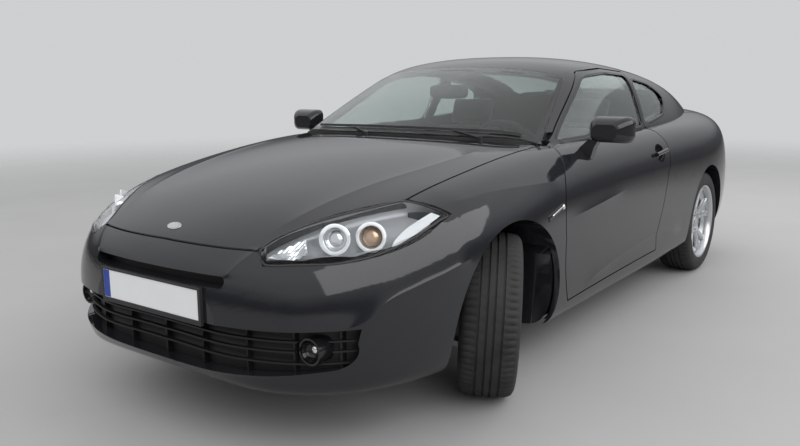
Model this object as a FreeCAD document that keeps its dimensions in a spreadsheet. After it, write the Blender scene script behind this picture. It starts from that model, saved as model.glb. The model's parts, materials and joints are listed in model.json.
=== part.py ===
# Two-door fastback coupe, modelled as its real panels, glass, lamps, cabin, running gear and wheels.
# Millimetres. +X points forward, +Y to the car's left, +Z up. The origin lies on the ground at mid-length.
import FreeCAD, Part
import math
import os
from FreeCAD import Placement, Rotation, Vector

doc = FreeCAD.newDocument("Coupe")

# Driving dimensions: alias, value in millimetres or degrees.
SIZES = [
    ("wheelbase", 2530), ("frontOverhang", 939.5), ("rearOverhang", 924.5), ("bodyWidth", 1760),
    ("beltHeight", 938), ("roofRise", 392),
    ("wheelInset", 135), ("steeringRoom", 305), ("railWidth", 60), ("engineRoom", 80),
    ("tyreRadius", 312.5), ("tyreWidth", 215), ("sidewallHeight", 95.5), ("tyreShoulder", 26),
    ("rimFlange", 11), ("rimWall", 9), ("wellDepth", 26), ("spokeThickness", 26), ("hubRadius", 72),
    ("windowRim", 15), ("hubBoreRadius", 28), ("runningClearance", 0.3),
    ("discRadius", 140), ("discThickness", 24),
    ("frontArchGap", 59.5), ("frontArchRise", 9.5), ("rearArchGap", 39.5), ("rearArchRise", 5.5),
    ("linerThickness", 12), ("seamGap", 0.3), ("doorGap", 6.5), ("doorRearStep", 14), ("doorSkinDepth", 45),
    ("lidGap", 7), ("hingeLineGap", 24), ("panelThickness", 28), ("roofThickness", 38),
    ("glassThickness", 5), ("frameThickness", 26),
    ("sideWall", 135), ("beltWall", 190), ("floorEdge", 180), ("floorTop", 225), ("floorThickness", 32),
    ("bootFloorTop", 430), ("tunnelRadius", 125), ("padDepth", 21),
    ("steerAtRest", 30), ("kingpinTilt", 8), ("caster", 3), ("kingpinInset", 82), ("strutTopHeight", 781),
    ("doorHingeSetback", 68), ("doorHingeInset", 20.5), ("hingePinRadius", 5), ("hingeLow", 440),
    ("hingeHigh", 610), ("plateWidth", 520), ("plateHeight", 114), ("plateThickness", 13),
    ("seatSideRoom", 125), ("seatInnerRoom", 15), ("seatLength", 510), ("seatTop", 480),
    ("seatBackHeight", 560), ("steeringWheelRadius", 185), ("steeringRimRadius", 14), ("columnTilt", 25),
    ("engineLength", 450), ("engineHeight", 460), ("exhaustRadius", 30),
    ("mirrorWidth", 188), ("mirrorHeight", 112), ("mirrorDepth", 84),
]
sheet = doc.addObject("Spreadsheet::Sheet", "Sizes")
for row, (alias, value) in enumerate(SIZES, 1):
    sheet.set("A%d" % row, alias)
    sheet.set("B%d" % row, str(value))
    sheet.setAlias("B%d" % row, alias)
doc.recompute()


def size(alias):
    return float(getattr(sheet, alias))


halfLength = (size("wheelbase") + size("frontOverhang") + size("rearOverhang")) / 2
halfWidth = size("bodyWidth") / 2
frontAxleX = halfLength - size("frontOverhang")
rearAxleX = size("rearOverhang") - halfLength
belt = size("beltHeight")

# Marks in the tables below and where the sizes put them: along the car round its axles, and up it at the
# sill, the belt and the roof.
ALONG_MARKS = [
    (-2197, -halfLength), (-1650, rearAxleX - 377.5), (-900, rearAxleX + 372.5),
    (850, frontAxleX - 407.5), (1640, frontAxleX + 382.5), (2197, halfLength),
]
UP_MARKS = [(0, 0), (560, 560), (938, belt), (1330, belt + size("roofRise"))]
DRAWN_HALF_WIDTH = 880


def follow(value, marks):
    # Between two marks a place keeps its share of the way, and beyond the outer ones its distance.
    if value <= marks[0][0]:
        return value - marks[0][0] + marks[0][1]
    for (low, newLow), (high, newHigh) in zip(marks, marks[1:]):
        if value <= high:
            return newLow + (value - low) * (newHigh - newLow) / (high - low)
    return value - marks[-1][0] + marks[-1][1]


def along(x):
    return follow(x, ALONG_MARKS)


def across(y):
    return y * halfWidth / DRAWN_HALF_WIDTH


def up(z):
    return follow(z, UP_MARKS)


def at(x, y, z):
    return Vector(along(x), across(y), up(z))


# Lower body sections, rear to front. Columns: x, then height and half width of the belly, sill, waist,
# hip, shoulder and top lines, and the height of the crown on the centre line.
LOWER_ROWS = [
    (-2197, 330, 330, 365, 420, 490, 430, 570, 420, 640, 400, 690, 250, 700),
    (-2185, 290, 500, 320, 600, 480, 640, 620, 610, 740, 560, 830, 380, 840),
    (-2130, 255, 560, 285, 690, 480, 725, 680, 700, 840, 640, 930, 480, 945),
    (-2030, 225, 620, 255, 750, 480, 785, 730, 760, 890, 710, 985, 560, 1000),
    (-1820, 200, 700, 225, 810, 480, 845, 770, 830, 925, 770, 1005, 580, 1018),
    (-1520, 190, 730, 210, 855, 480, 882, 780, 872, 940, 800, 995, 610, 1006),
    (-1180, 185, 750, 200, 862, 470, 886, 775, 878, 940, 800, 965, 650, 980),
    (-700, 185, 760, 200, 848, 450, 864, 765, 864, 935, 782, 950, 650, 960),
    (-200, 185, 760, 200, 842, 430, 856, 750, 862, 930, 775, 945, 650, 955),
    (300, 185, 760, 200, 842, 430, 856, 750, 866, 925, 775, 942, 650, 955),
    (750, 185, 760, 205, 852, 450, 870, 740, 875, 915, 785, 935, 640, 962),
    (1050, 185, 745, 205, 862, 470, 890, 740, 886, 890, 785, 915, 600, 952),
    (1350, 185, 720, 205, 858, 480, 890, 730, 878, 848, 770, 880, 560, 925),
    (1650, 185, 690, 210, 825, 480, 858, 700, 830, 800, 725, 835, 520, 872),
    (1900, 190, 620, 220, 745, 470, 785, 645, 745, 740, 640, 775, 450, 805),
    (2070, 205, 500, 235, 600, 450, 650, 590, 610, 680, 520, 705, 350, 728),
    (2165, 235, 400, 270, 460, 440, 500, 545, 470, 620, 380, 645, 250, 665),
    (2197, 300, 220, 335, 280, 440, 320, 500, 300, 555, 240, 580, 150, 595),
]
# Glasshouse sections, rear to front. Columns: x, then half width and height of the foot, belt, glass,
# rail and roof lines, and the height of the peak on the centre line.
UPPER_ROWS = [
    (-2080, 500, 840, 500, 860, 490, 880, 470, 900, 300, 905, 908),
    (-1900, 560, 880, 545, 930, 520, 965, 490, 990, 330, 1018, 1030),
    (-1600, 640, 880, 620, 950, 575, 1035, 515, 1085, 340, 1110, 1122),
    (-1300, 700, 880, 675, 955, 610, 1090, 540, 1160, 350, 1187, 1200),
    (-1000, 730, 880, 705, 955, 635, 1120, 560, 1208, 360, 1240, 1252),
    (-700, 745, 880, 720, 950, 650, 1130, 575, 1238, 370, 1275, 1288),
    (-400, 750, 880, 728, 945, 655, 1140, 580, 1258, 375, 1300, 1314),
    (-150, 752, 880, 730, 940, 655, 1140, 580, 1265, 375, 1307, 1322),
    (100, 752, 880, 730, 938, 655, 1130, 575, 1248, 370, 1292, 1308),
    (300, 750, 880, 728, 935, 650, 1085, 570, 1178, 365, 1232, 1252),
    (500, 745, 880, 722, 930, 650, 1020, 575, 1085, 360, 1150, 1172),
    (700, 735, 870, 705, 915, 640, 960, 560, 1000, 340, 1058, 1083),
    (870, 690, 850, 640, 880, 560, 915, 470, 935, 280, 970, 990),
    (1000, 600, 840, 520, 860, 430, 885, 350, 900, 200, 915, 922),
]
GLASSHOUSE_BASE = 500

# Side outlines in X and Z, clockwise from the front of the belt. "via" marks the middle of an arc.
DOOR_OUTLINE = [
    (700, 912), (785, 819), ("via", 846, 700), (853, 560), ("via", 842, 430), (765, 275), (-380, 288),
    (-352, 373), (-420, 508), (-497, 679), ("via", -560, 790), (-562, 860), (-520, 918), (-456, 946),
    (-498, 1238), (-200, 1254), (60, 1240), (100, 1228), (640, 935),
]
WINDOW_OUTLINE = [
    (592, 934), (120, 1186), ("via", 60, 1206), (-10, 1214), (-202, 1226), (-472, 1213), (-431, 954),
]
QUARTER_OUTLINE = [
    (-482, 962), (-524, 1196), (-760, 1168), (-930, 1118), ("via", -955, 1090), (-930, 1050), (-860, 1000),
]
# Plan outlines in X and Y, left half, from the centre line round to the centre line.
BONNET_OUTLINE = [
    (2132, 0), ("via", 2121, 210), (2085, 396), (2030, 421), (1960, 463), (1842, 530), (1650, 650),
    (1300, 672), (760, 690), ("via", 885, 440), (962, 0),
]
SCREEN_OUTLINE = [
    (918, 0), ("via", 835, 440), (703, 677), (206, 550), ("via", 252, 300), (266, 0),
]
ROOF_OUTLINE = [
    (266, 0), ("via", 252, 300), (206, 550), (-200, 556), (-530, 536), (-530, 0),
]
TAILGATE_OUTLINE = [
    (-530, 0), (-530, 536), (-1000, 556), (-1450, 610), (-1780, 640), (-1960, 610), (-2260, 575),
    (-2260, 0),
]
REAR_GLASS_OUTLINE = [
    (-590, 0), (-590, 470), (-1000, 500), (-1440, 552), ("via", -1510, 320), (-1530, 0),
]
LAMP_OUTLINE = [
    (2112, 446), ("via", 2052, 556), (1944, 673), ("via", 1830, 738), (1689, 777), (1568, 784), (1650, 650),
    (1842, 530), (1960, 463), (2030, 421), (2085, 396),
]
COWL_OUTLINE = [
    (962, 0), ("via", 885, 440), (760, 690), (760, 697), (730, 697), (703, 677), ("via", 835, 440),
    (918, 0),
]
# Side outlines of the wing and the bumpers.
WING_OUTLINE = [
    (1568, 757), (1459, 660), (1459, 500), (1300, 100), (853, 100), (765, 275), ("via", 842, 430),
    (853, 560), ("via", 846, 700), (785, 819), (700, 912), (706, 990), (1700, 990), (1700, 840),
]
FRONT_BUMPER_OUTLINE = [
    (1568, 757), (1459, 660), (1459, 500), (1300, 100), (2300, 100), (2300, 760),
]
REAR_BUMPER_OUTLINE = [
    (-1500, 100), (-1570, 560), (-1900, 690), (-2300, 702), (-2300, 100),
]
# Nose outlines in Y and Z, left half.
INTAKE_OUTLINE = [
    (0, 446), (714, 448), (705, 400), ("via", 694, 348), (650, 318), (543, 305), ("via", 323, 289),
    (0, 281),
]
SLOT_OUTLINE = [(0, 600), (324, 598), ("via", 336, 580), (322, 562), (0, 562)]
TAIL_LAMP_OUTLINE = [(600, 742), (612, 850), (700, 868), (830, 850), (830, 735)]

pieces = {}


def polygonWire(outline, toPoint):
    edges = []
    last = None
    middle = None
    for item in outline + [outline[0]]:
        if item[0] == "via":
            middle = toPoint(item[1], item[2])
            continue
        point = toPoint(item[0], item[1])
        if last is not None:
            if middle is not None:
                edges.append(Part.Arc(last, middle, point).toShape())
            else:
                edges.append(Part.makeLine(last, point))
        last = point
        middle = None
    return Part.Wire(edges)


def inset(face, distance):
    # Square corners where the offset allows them, else tangent ones.
    if not distance:
        return face
    for corners in (2, 1, 0):
        try:
            return face.makeOffset2D(-distance, corners)
        except ValueError:
            continue
    raise ValueError("no offset by %g" % distance)


def sidePrism(outline, near, far, gap=0):
    face = Part.Face(polygonWire(outline, lambda x, z: Vector(along(x), near, up(z))))
    return inset(face, gap).extrude(Vector(0, far - near, 0))


def planPrism(outline, low, high, gap=0):
    # A gap is taken from the whole outline, both halves, so that it leaves no notch on the centre line.
    left = list(outline)
    if gap:
        left += [("via", item[1], -item[2]) if len(item) == 3 else (item[0], -item[1])
                 for item in reversed(outline[1:-1])]
    full = Part.Face(polygonWire(left, lambda x, y: Vector(along(x), across(y), low)))
    solid = inset(full, gap).extrude(Vector(0, 0, high - low))
    return solid.common(block(TAIL_X, NOSE_X, 0, FAR, low - 1, high + 1))


def frontPrism(outline, near, far):
    face = Part.Face(polygonWire(outline, lambda y, z: Vector(near, across(y), up(z))))
    return face.extrude(Vector(far - near, 0, 0))


def clampedKnots(count):
    return [4] + [1] * (count - 4) + [4], [float(i) for i in range(count - 2)]


def lowerSection(row):
    x, zBelly, yBelly, zSill, ySill, zWaist, yWaist = row[:7]
    zHip, yHip, zShoulder, yShoulder, zTop, yTop, zCrown = row[7:]
    return [(x, 0, zBelly), (x, yBelly * 0.6, zBelly), (x, yBelly, zBelly), (x, ySill, zSill),
            (x, yWaist, zWaist), (x, yHip, zHip), (x, yShoulder, zShoulder), (x, yTop, zTop),
            (x, yTop * 0.45, zCrown), (x, 0, zCrown)]


def upperSection(row):
    x, yFoot, zFoot, yBelt, zBelt, yGlass, zGlass, yRail, zRail, yRoof, zRoof, zPeak = row
    return [(x, 0, GLASSHOUSE_BASE), (x, yFoot * 0.8, GLASSHOUSE_BASE), (x, yFoot, zFoot),
            (x, yBelt, zBelt), (x, yGlass, zGlass), (x, yRail, zRail), (x, yRoof, zRoof),
            (x, yRoof * 0.45, zPeak), (x, 0, zPeak)]


def halfBody(sections, shrink=(1, 1, 1), about=0):
    # A smooth skin over the sections, closed by flat ends and by the centre plane.
    net = [[Vector(along(x) * shrink[0], across(y) * shrink[1], about + (up(z) - about) * shrink[2])
            for x, y, z in section] for section in sections]
    skin = Part.BSplineSurface()
    alongMults, alongKnots = clampedKnots(len(net))
    roundMults, roundKnots = clampedKnots(len(net[0]))
    skin.buildFromPolesMultsKnots(net, alongMults, roundMults, alongKnots, roundKnots, False, False, 3, 3)
    side = skin.toShape()
    ends = [edge for edge in side.Edges if edge.BoundBox.XLength < 1]
    longs = [edge for edge in side.Edges if edge.BoundBox.XLength >= 1]
    faces = [side]
    stubs = []
    for edge in ends:
        stub = Part.makeLine(edge.Vertexes[0].Point, edge.Vertexes[-1].Point)
        stubs.append(stub)
        faces.append(Part.Face(Part.Wire(Part.__sortEdges__([edge, stub]))))
    faces.append(Part.Face(Part.Wire(Part.__sortEdges__(longs + stubs))))
    shell = Part.makeShell(faces)
    shell.sewShape()
    solid = Part.makeSolid(shell)
    if solid.Volume < 0:
        solid.reverse()
    return solid


def moved(shape, x, y, z):
    copy = shape.copy()
    copy.translate(Vector(x, y, z))
    return copy


def mirrored(shape):
    return shape.mirror(Vector(0, 0, 0), Vector(0, 1, 0))


def whole(half):
    return half.fuse(mirrored(half)).removeSplitter()


def block(x0, x1, y0, y1, z0, z1):
    return Part.makeBox(x1 - x0, y1 - y0, z1 - z0, Vector(x0, y0, z0))


def zone(x0, x1, y0, y1, z0, z1):
    # A block between places of the tables, so that it follows the sizes.
    return block(along(x0), along(x1), across(y0), across(y1), up(z0), up(z1))


def rod(start, end, radius):
    return Part.makeCylinder(radius, (end - start).Length, start, end - start)


def crossRod(x, y, z, radius, long):
    return Part.makeCylinder(radius, long, Vector(x, y, z), Vector(0, 1, 0))


def fuseAll(shapes):
    return shapes[0].multiFuse(shapes[1:]) if len(shapes) > 1 else shapes[0]


def cutAll(shape, cutters):
    for cutter in cutters:
        shape = shape.cut(cutter)
    return shape


def keepLargest(shape):
    return max(shape.Solids, key=lambda solid: solid.Volume)


def feature(name, shape):
    piece = doc.addObject("Part::Feature", name)
    piece.Label = name
    piece.Shape = shape
    pieces[name] = piece
    return piece


def pair(name, shape):
    feature(name + "_left", shape)
    feature(name + "_right", mirrored(shape))


seam = size("seamGap")
doorGap = size("doorGap")
lidGap = size("lidGap")
glass = size("glassThickness")
panel = size("panelThickness")
pin = size("hingePinRadius")
run = size("runningClearance")
tyreR = size("tyreRadius")
beadR = tyreR - size("sidewallHeight")
wheelY = halfWidth - size("wheelInset")
houseInner = wheelY - size("steeringRoom")
railInner = houseInner - size("railWidth")
trim = halfWidth - size("sideWall")
beltTrim = halfWidth - size("beltWall")
floorHalf = halfWidth - size("floorEdge")
rearFloorHalf = across(590)
bootHalf = across(560)
floorTop = size("floorTop")
floorBottom = floorTop - size("floorThickness")
bootTop = size("bootFloorTop")
bulkheadX = along(870)
seatBackX = along(-1050)
FAR = 1400
TAIL_X = -3200
NOSE_X = 3200
SKY = 2500

lowerHalf = halfBody([lowerSection(row) for row in LOWER_ROWS])
upperHalf = halfBody([upperSection(row) for row in UPPER_ROWS])
outerHalf = lowerHalf.fuse(upperHalf)

# Hollows that the panels leave open: cabin, roof space and boot.
cabinSection = [(0, floorTop), (floorHalf, floorTop), (trim, floorTop + 75), (trim, up(760)),
                (beltTrim, up(900)), (beltTrim, belt + 30), (0, belt + 30)]
cabinWire = Part.makePolygon([Vector(seatBackX, y, z) for y, z in cabinSection + [cabinSection[0]]])
cabin = Part.Face(cabinWire).extrude(Vector(bulkheadX - seatBackX, 0, 0))
roofSpace = halfBody([upperSection(row) for row in UPPER_ROWS], (0.985, 0.935, 0.93), 860)
boot = block(along(-2085), seatBackX + 1, 0, bootHalf, bootTop, up(935))
hollow = cabin.fuse(roofSpace).fuse(boot)

archRadius = tyreR + size("frontArchGap")
archHeight = tyreR + size("frontArchRise")
rearArchRadius = tyreR + size("rearArchGap")
rearArchHeight = tyreR + size("rearArchRise")
archFront = crossRod(frontAxleX, houseInner, archHeight, archRadius, FAR)
archRear = crossRod(rearAxleX, rearFloorHalf, rearArchHeight, rearArchRadius, FAR)

lidFoot = up(705)
roofHalf = across(528)
bonnetCut = planPrism(BONNET_OUTLINE, up(560), up(1100), -lidGap)
lampCut = planPrism(LAMP_OUTLINE, up(560), up(1100))
screenCut = planPrism(SCREEN_OUTLINE, up(880), up(1500), -seam)
roofCut = planPrism(ROOF_OUTLINE, up(1000), up(1500), -seam)
roofCut = roofCut.common(block(along(-900), along(600), 0, roofHalf + seam, up(900), SKY))
cowlCut = planPrism(COWL_OUTLINE, up(840), up(1100), -seam)
tailgateCut = planPrism(TAILGATE_OUTLINE, lidFoot, up(1500), -lidGap)
doorOpening = sidePrism(DOOR_OUTLINE, across(300), FAR)
quarterOpening = sidePrism(QUARTER_OUTLINE, across(300), FAR)
rearBumperCut = sidePrism(REAR_BUMPER_OUTLINE, 0, FAR, -seam)


def skinPoint(x=None, y=None, z=None):
    # Where a line along the missing axis leaves the outer skin.
    if y is None:
        reach = Part.makeLine(Vector(x, across(300), z), Vector(x, FAR, z)).common(outerHalf)
        return reach.BoundBox.YMax
    if z is None:
        reach = Part.makeLine(Vector(x, abs(y), up(700)), Vector(x, abs(y), SKY)).common(outerHalf)
        return reach.BoundBox.ZMax
    reach = Part.makeLine(Vector(0, abs(y), z), Vector(NOSE_X, abs(y), z)).common(outerHalf)
    return reach.BoundBox.XMax


hingeX = along(853) - size("doorHingeSetback")
hingeY = skinPoint(x=hingeX, z=up(560)) - size("doorHingeInset")
hingeHeights = (size("hingeLow"), size("hingeHigh"))
hingeHalf = 28
bonnetHingeX = along(760) - 8
bonnetHingeZ = up(900)
bonnetLugY = across(647)
lidAxisX = along(-530) - size("hingeLineGap") / 2
lidAxisZ = skinPoint(x=lidAxisX, y=0.5) - 11


def makeSides():
    side = outerHalf.common(block(TAIL_X, along(846), 0, FAR, 0, SKY)).cut(hollow)
    side = keepLargest(cutAll(side, [
        archRear, doorOpening, quarterOpening, screenCut, roofCut, tailgateCut,
        frontPrism(TAIL_LAMP_OUTLINE, TAIL_X, along(-1930)), rearBumperCut,
        sidePrism(WING_OUTLINE, across(635), FAR), bonnetCut, cowlCut,
        block(TAIL_X, NOSE_X, 0, floorHalf + seam, 0, floorTop),
        block(TAIL_X, seatBackX, 0, rearFloorHalf, 0, bootTop)]))
    post = block(along(700), along(934), across(655), across(860), floorBottom, up(840))
    post = post.common(moved(lowerHalf, 0, -32, 0))
    underFloor = block(along(600), along(900), 0, floorHalf + seam, 0, floorTop + seam)
    post = keepLargest(cutAll(post, [doorOpening, archFront, underFloor]))
    arms = []
    for height in hingeHeights:
        low, high = height - hingeHalf, height + hingeHalf
        eye = Part.makeCylinder(pin + 4, high - low, Vector(hingeX, hingeY, low))
        inward = block(hingeX - 6, hingeX + 6, hingeY - 74, hingeY - 6, low, high)
        onward = block(hingeX - 6, hingeX + 95, hingeY - 74, hingeY - 62, low, high)
        bore = Part.makeCylinder(pin + run, high - low, Vector(hingeX, hingeY, low))
        arms.append(fuseAll([eye, inward, onward]).cut(bore))
    return keepLargest(fuseAll([side, post] + arms))


def makeWing():
    wing = lowerHalf.common(sidePrism(WING_OUTLINE, across(640), FAR, seam))
    inside = zone(700, 960, 0, 870, 0, 925).common(moved(lowerHalf, 0, -26, -20))
    inside = inside.fuse(zone(700, 960, 0, 870, 0, 850).common(moved(lowerHalf, 0, -26, 0)))
    return keepLargest(cutAll(wing, [archFront, bonnetCut, lampCut, cowlCut, screenCut, inside]))


def makeBonnet():
    lid = lowerHalf.common(planPrism(BONNET_OUTLINE, up(560), up(1100)))
    lid = lid.cut(moved(lowerHalf, -panel * 0.5, 0, -panel))
    x, y, z = bonnetHingeX, bonnetLugY, bonnetHingeZ
    under = skinPoint(x=along(860), y=across(655)) - panel
    lug = block(x, along(880), y, y + 10, z - 9, z + 9)
    rise = block(along(835), along(880), y, y + 10, z - 9, under + 30)
    rise = rise.common(moved(lowerHalf, 0, 0, -panel * 0.5))
    lug = fuseAll([lug, rise, crossRod(x, y, z, 9, 10)]).cut(crossRod(x, y, z, pin + run, 10))
    return whole(keepLargest(keepLargest(lid).fuse(lug)))


def makeFrontBumper():
    core = halfBody([lowerSection(row) for row in LOWER_ROWS], (0.962, 0.93, 0.84), 560)
    bumper = lowerHalf.common(sidePrism(FRONT_BUMPER_OUTLINE, 0, FAR)).cut(core)
    near = along(1500)
    return whole(keepLargest(cutAll(bumper, [
        archFront, lampCut, bonnetCut, sidePrism(WING_OUTLINE, across(300), FAR),
        frontPrism(INTAKE_OUTLINE, near, NOSE_X), frontPrism(SLOT_OUTLINE, near, NOSE_X),
        block(0, along(1950), 0, across(640), 0, up(800))])))


tailPipeY = 420


def makeRearBumper():
    core = halfBody([lowerSection(row) for row in LOWER_ROWS], (0.972, 0.93, 0.84), 620)
    bumper = lowerHalf.common(sidePrism(REAR_BUMPER_OUTLINE, 0, FAR)).cut(core)
    mouth = Vector(TAIL_X, tailPipeY, 262)
    tailPipe = rod(mouth, Vector(along(-1900), tailPipeY, 262), size("exhaustRadius") + 10)
    inner = block(along(-2100), 0, 0, across(600), 0, up(700))
    return whole(keepLargest(cutAll(bumper, [archRear, inner, tailPipe])))


def makeRoof():
    roof = upperHalf.common(planPrism(ROOF_OUTLINE, up(1000), up(1500)))
    roof = roof.common(block(along(-900), along(600), 0, roofHalf, up(900), SKY))
    roof = roof.cut(moved(upperHalf, 0, 0, -size("roofThickness"))).cut(doorOpening)
    lug = block(lidAxisX - 3, lidAxisX + 17, 128, 142, lidAxisZ - 6, lidAxisZ + 3)
    post = crossRod(lidAxisX, 128, lidAxisZ, 3, 42)
    return whole(keepLargest(fuseAll([keepLargest(roof), lug, post])))


def makeScreen():
    screen = outerHalf.common(planPrism(SCREEN_OUTLINE, up(880), up(1500), seam))
    return whole(keepLargest(screen.cut(moved(outerHalf, 0, 0, -glass * 1.25))))


def makeTailgate():
    lid = outerHalf.common(planPrism(TAILGATE_OUTLINE, lidFoot + lidGap, up(1500)))
    lid = lid.cut(block(along(-530) - size("hingeLineGap"), 0, 0, FAR, up(600), SKY))
    lid = lid.cut(moved(outerHalf, panel, 0, -panel))
    opening = planPrism(REAR_GLASS_OUTLINE, up(900), up(1500))
    pane = outerHalf.common(planPrism(REAR_GLASS_OUTLINE, up(900), up(1500), seam))
    pane = pane.cut(moved(outerHalf, 0, 0, -glass * 1.2))
    eye = crossRod(lidAxisX, 146, lidAxisZ, 6.5, 20)
    web = block(lidAxisX - 20, lidAxisX, 146, 166, lidAxisZ - 6, lidAxisZ + 2)
    hinge = eye.fuse(web).cut(crossRod(lidAxisX, 146, lidAxisZ, 3 + run, 20))
    lid = keepLargest(keepLargest(lid.cut(opening)).fuse(hinge))
    return whole(lid), whole(keepLargest(pane))


def makeDoor():
    below = block(TAIL_X, NOSE_X, 0, FAR, 0, belt)
    above = block(TAIL_X, NOSE_X, 0, FAR, belt - 6, SKY)
    near = across(300)
    full = sidePrism(DOOR_OUTLINE, near, FAR, doorGap)
    stepped = sidePrism(DOOR_OUTLINE, near, FAR, doorGap + size("doorRearStep"))
    wall = outerHalf.cut(cabin).common(below)
    skin = wall.common(full).cut(moved(lowerHalf, 0, -size("doorSkinDepth"), 0))
    core = wall.common(stepped)
    frame = outerHalf.cut(moved(outerHalf, 0, -size("frameThickness"), -14)).common(above).common(full)
    door = fuseAll([core, skin, frame]).cut(sidePrism(WINDOW_OUTLINE, near, FAR))
    for height in hingeHeights:
        low, high = height - hingeHalf - 4, height + hingeHalf + 4
        door = door.cut(block(hingeX - 16, hingeX + 115, hingeY - 82, hingeY + pin + 6, low, high))
        door = door.fuse(Part.makeCylinder(pin, high - low, Vector(hingeX, hingeY, low)))
    return keepLargest(makeHandle(door).removeSplitter())


def makeHandle(door):
    # An upright oval bowl with a pull across it that rises a little to the rear.
    x, z = along(-415), up(812)
    grip = skinPoint(x=x, z=z)
    bowl = Part.makeSphere(82)
    bowl = bowl.transformGeometry(FreeCAD.Matrix(0.8, 0, 0, x, 0, 0.42, 0, grip + 2, 0, 0, 0.66, z))
    parts = [rod(Vector(x - 84, grip + 12, z + 7), Vector(x + 84, grip + 12, z - 7), 11)]
    for end in (-1, 1):
        foot = Vector(x + end * 68, grip - 20, z - end * 5)
        parts.append(rod(foot, foot + Vector(0, 30, 0), 9))
    return door.cut(bowl).fuse(parts)


def makeSideGlass(outline, gap):
    pane = moved(outerHalf, 0, -7, -3).cut(moved(outerHalf, 0, -7 - glass, -5))
    pane = pane.common(sidePrism(outline, across(300), FAR, gap))
    return keepLargest(pane.common(block(TAIL_X, NOSE_X, 0, FAR, up(925), SKY)))


def roundedFrame(x, y0, y1, z0, z1, radius):
    # An upright wire in the plane across the car, with rounded corners.
    corners = [Vector(x, y0, z0), Vector(x, y1, z0), Vector(x, y1, z1), Vector(x, y0, z1)]
    edges = []
    for index, corner in enumerate(corners):
        before = (corners[index - 1] - corner).normalize() * radius
        after = (corners[(index + 1) % 4] - corner).normalize() * radius
        middle = corner + (before + after) * (1 - math.sqrt(0.5))
        edges.append(Part.Arc(corner + before, middle, corner + after).toShape())
    joined = []
    for edge, ahead in zip(edges, edges[1:] + edges[:1]):
        side = Part.makeLine(edge.valueAt(edge.LastParameter), ahead.valueAt(ahead.FirstParameter))
        joined += [edge, side]
    return Part.Wire(joined)


def makeMirror():
    # A cap that tapers to the front, open at the back for its glass, on a foot that stands on the door.
    x, z = along(430), up(923)
    inner = skinPoint(x=x, z=up(850)) - 8
    outer = inner + size("mirrorWidth")
    high = size("mirrorHeight")
    deep = size("mirrorDepth")
    frames = [roundedFrame(x, inner, outer, z, z + high, 30),
              roundedFrame(x + deep * 0.6, inner + 4, outer - 12, z + 2, z + high - 7, 32),
              roundedFrame(x + deep, inner + 24, outer - 52, z + 14, z + high - 32, 28)]
    cap = Part.makeLoft(frames, True)
    mouth = [roundedFrame(place, inner + 6, outer - 6, z + 6, z + high - 6, 24) for place in (x - 1, x + 14)]
    cap = cap.cut(Part.makeLoft(mouth, True))
    profile = [(inner - 40, z - 72), (inner - 40, z - 28), (inner + 4, z + 14), (inner + 52, z + 14),
               (inner + 30, z - 22), (inner + 16, z - 72)]
    wire = Part.makePolygon([Vector(x + 22, y, height) for y, height in profile + [profile[0]]])
    foot = Part.Face(wire).extrude(Vector(46, 0, 0)).cut(moved(outerHalf, 0, seam, seam))
    return keepLargest(cap.fuse(keepLargest(foot)))


# The lamp units behind the cover: place of the bowl's mouth and its radius.
LAMP_UNITS = [(1965, 585, 690, 44), (1872, 668, 712, 42)]
LAMP_AXIS = Vector(0.86, 0.48, 0.1)


def makeLamp():
    outline = Part.Face(polygonWire(LAMP_OUTLINE, lambda x, y: Vector(along(x), across(y), up(560))))
    tall = Vector(0, 0, 500)
    lens = lowerHalf.common(inset(outline, seam).extrude(tall))
    lens = lens.cut(moved(lowerHalf, -glass, -glass * 0.5, -glass))
    within = inset(outline, 3).extrude(tall)
    bowl = moved(lowerHalf, -glass - 1, -glass * 0.5 - 1, -glass - 1).common(within)
    bowl = bowl.cut(moved(lowerHalf, -90, -60, -90))
    bowl = bowl.cut(inset(outline, 9).extrude(tall).cut(moved(lowerHalf, -70, -45, -70)))
    units = [keepLargest(bowl)]
    for x, y, z, radius in LAMP_UNITS:
        tube = Part.makeCylinder(radius * 0.8, 70, at(x, y, z) - LAMP_AXIS * 110, LAMP_AXIS)
        units.append(tube.common(moved(lowerHalf, -20, -12, -20)).common(within))
    return keepLargest(lens), keepLargest(fuseAll(units))


def noseBand(height, near, far, low, high):
    # A strip that follows the nose in plan: its front face is "near" behind the skin, its back "far" behind.
    skin = [Vector(skinPoint(y=across(y), z=up(height)), across(y), low)
            for y in (0, 160, 320, 440, 540, 620, 700)]
    curve = Part.BSplineCurve()
    curve.interpolate(skin)
    front = curve.toShape()
    front.translate(Vector(-near, 0, 0))
    back = curve.toShape()
    back.translate(Vector(-far, 0, 0))
    edges = [front, Part.makeLine(front.Vertexes[-1].Point, back.Vertexes[-1].Point), back,
             Part.makeLine(back.Vertexes[0].Point, front.Vertexes[0].Point)]
    return Part.Face(Part.Wire(Part.__sortEdges__(edges))).extrude(Vector(0, 0, high - low))


fogPlace = at(2000, 588, 378)
fogRadius = 44


def makeFogLamp():
    forward = Vector(1, 0, 0)
    ring = Part.makeCylinder(fogRadius, 66, fogPlace, forward)
    ring = ring.cut(Part.makeCylinder(fogRadius - 7, 50, fogPlace + forward * 40, forward))
    stalk = Part.makeCylinder(24, 130, fogPlace - forward * 110, forward)
    return keepLargest(ring.fuse(stalk).cut(noseBand(380, 70 - seam, 400, 200, 600)))


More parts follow.
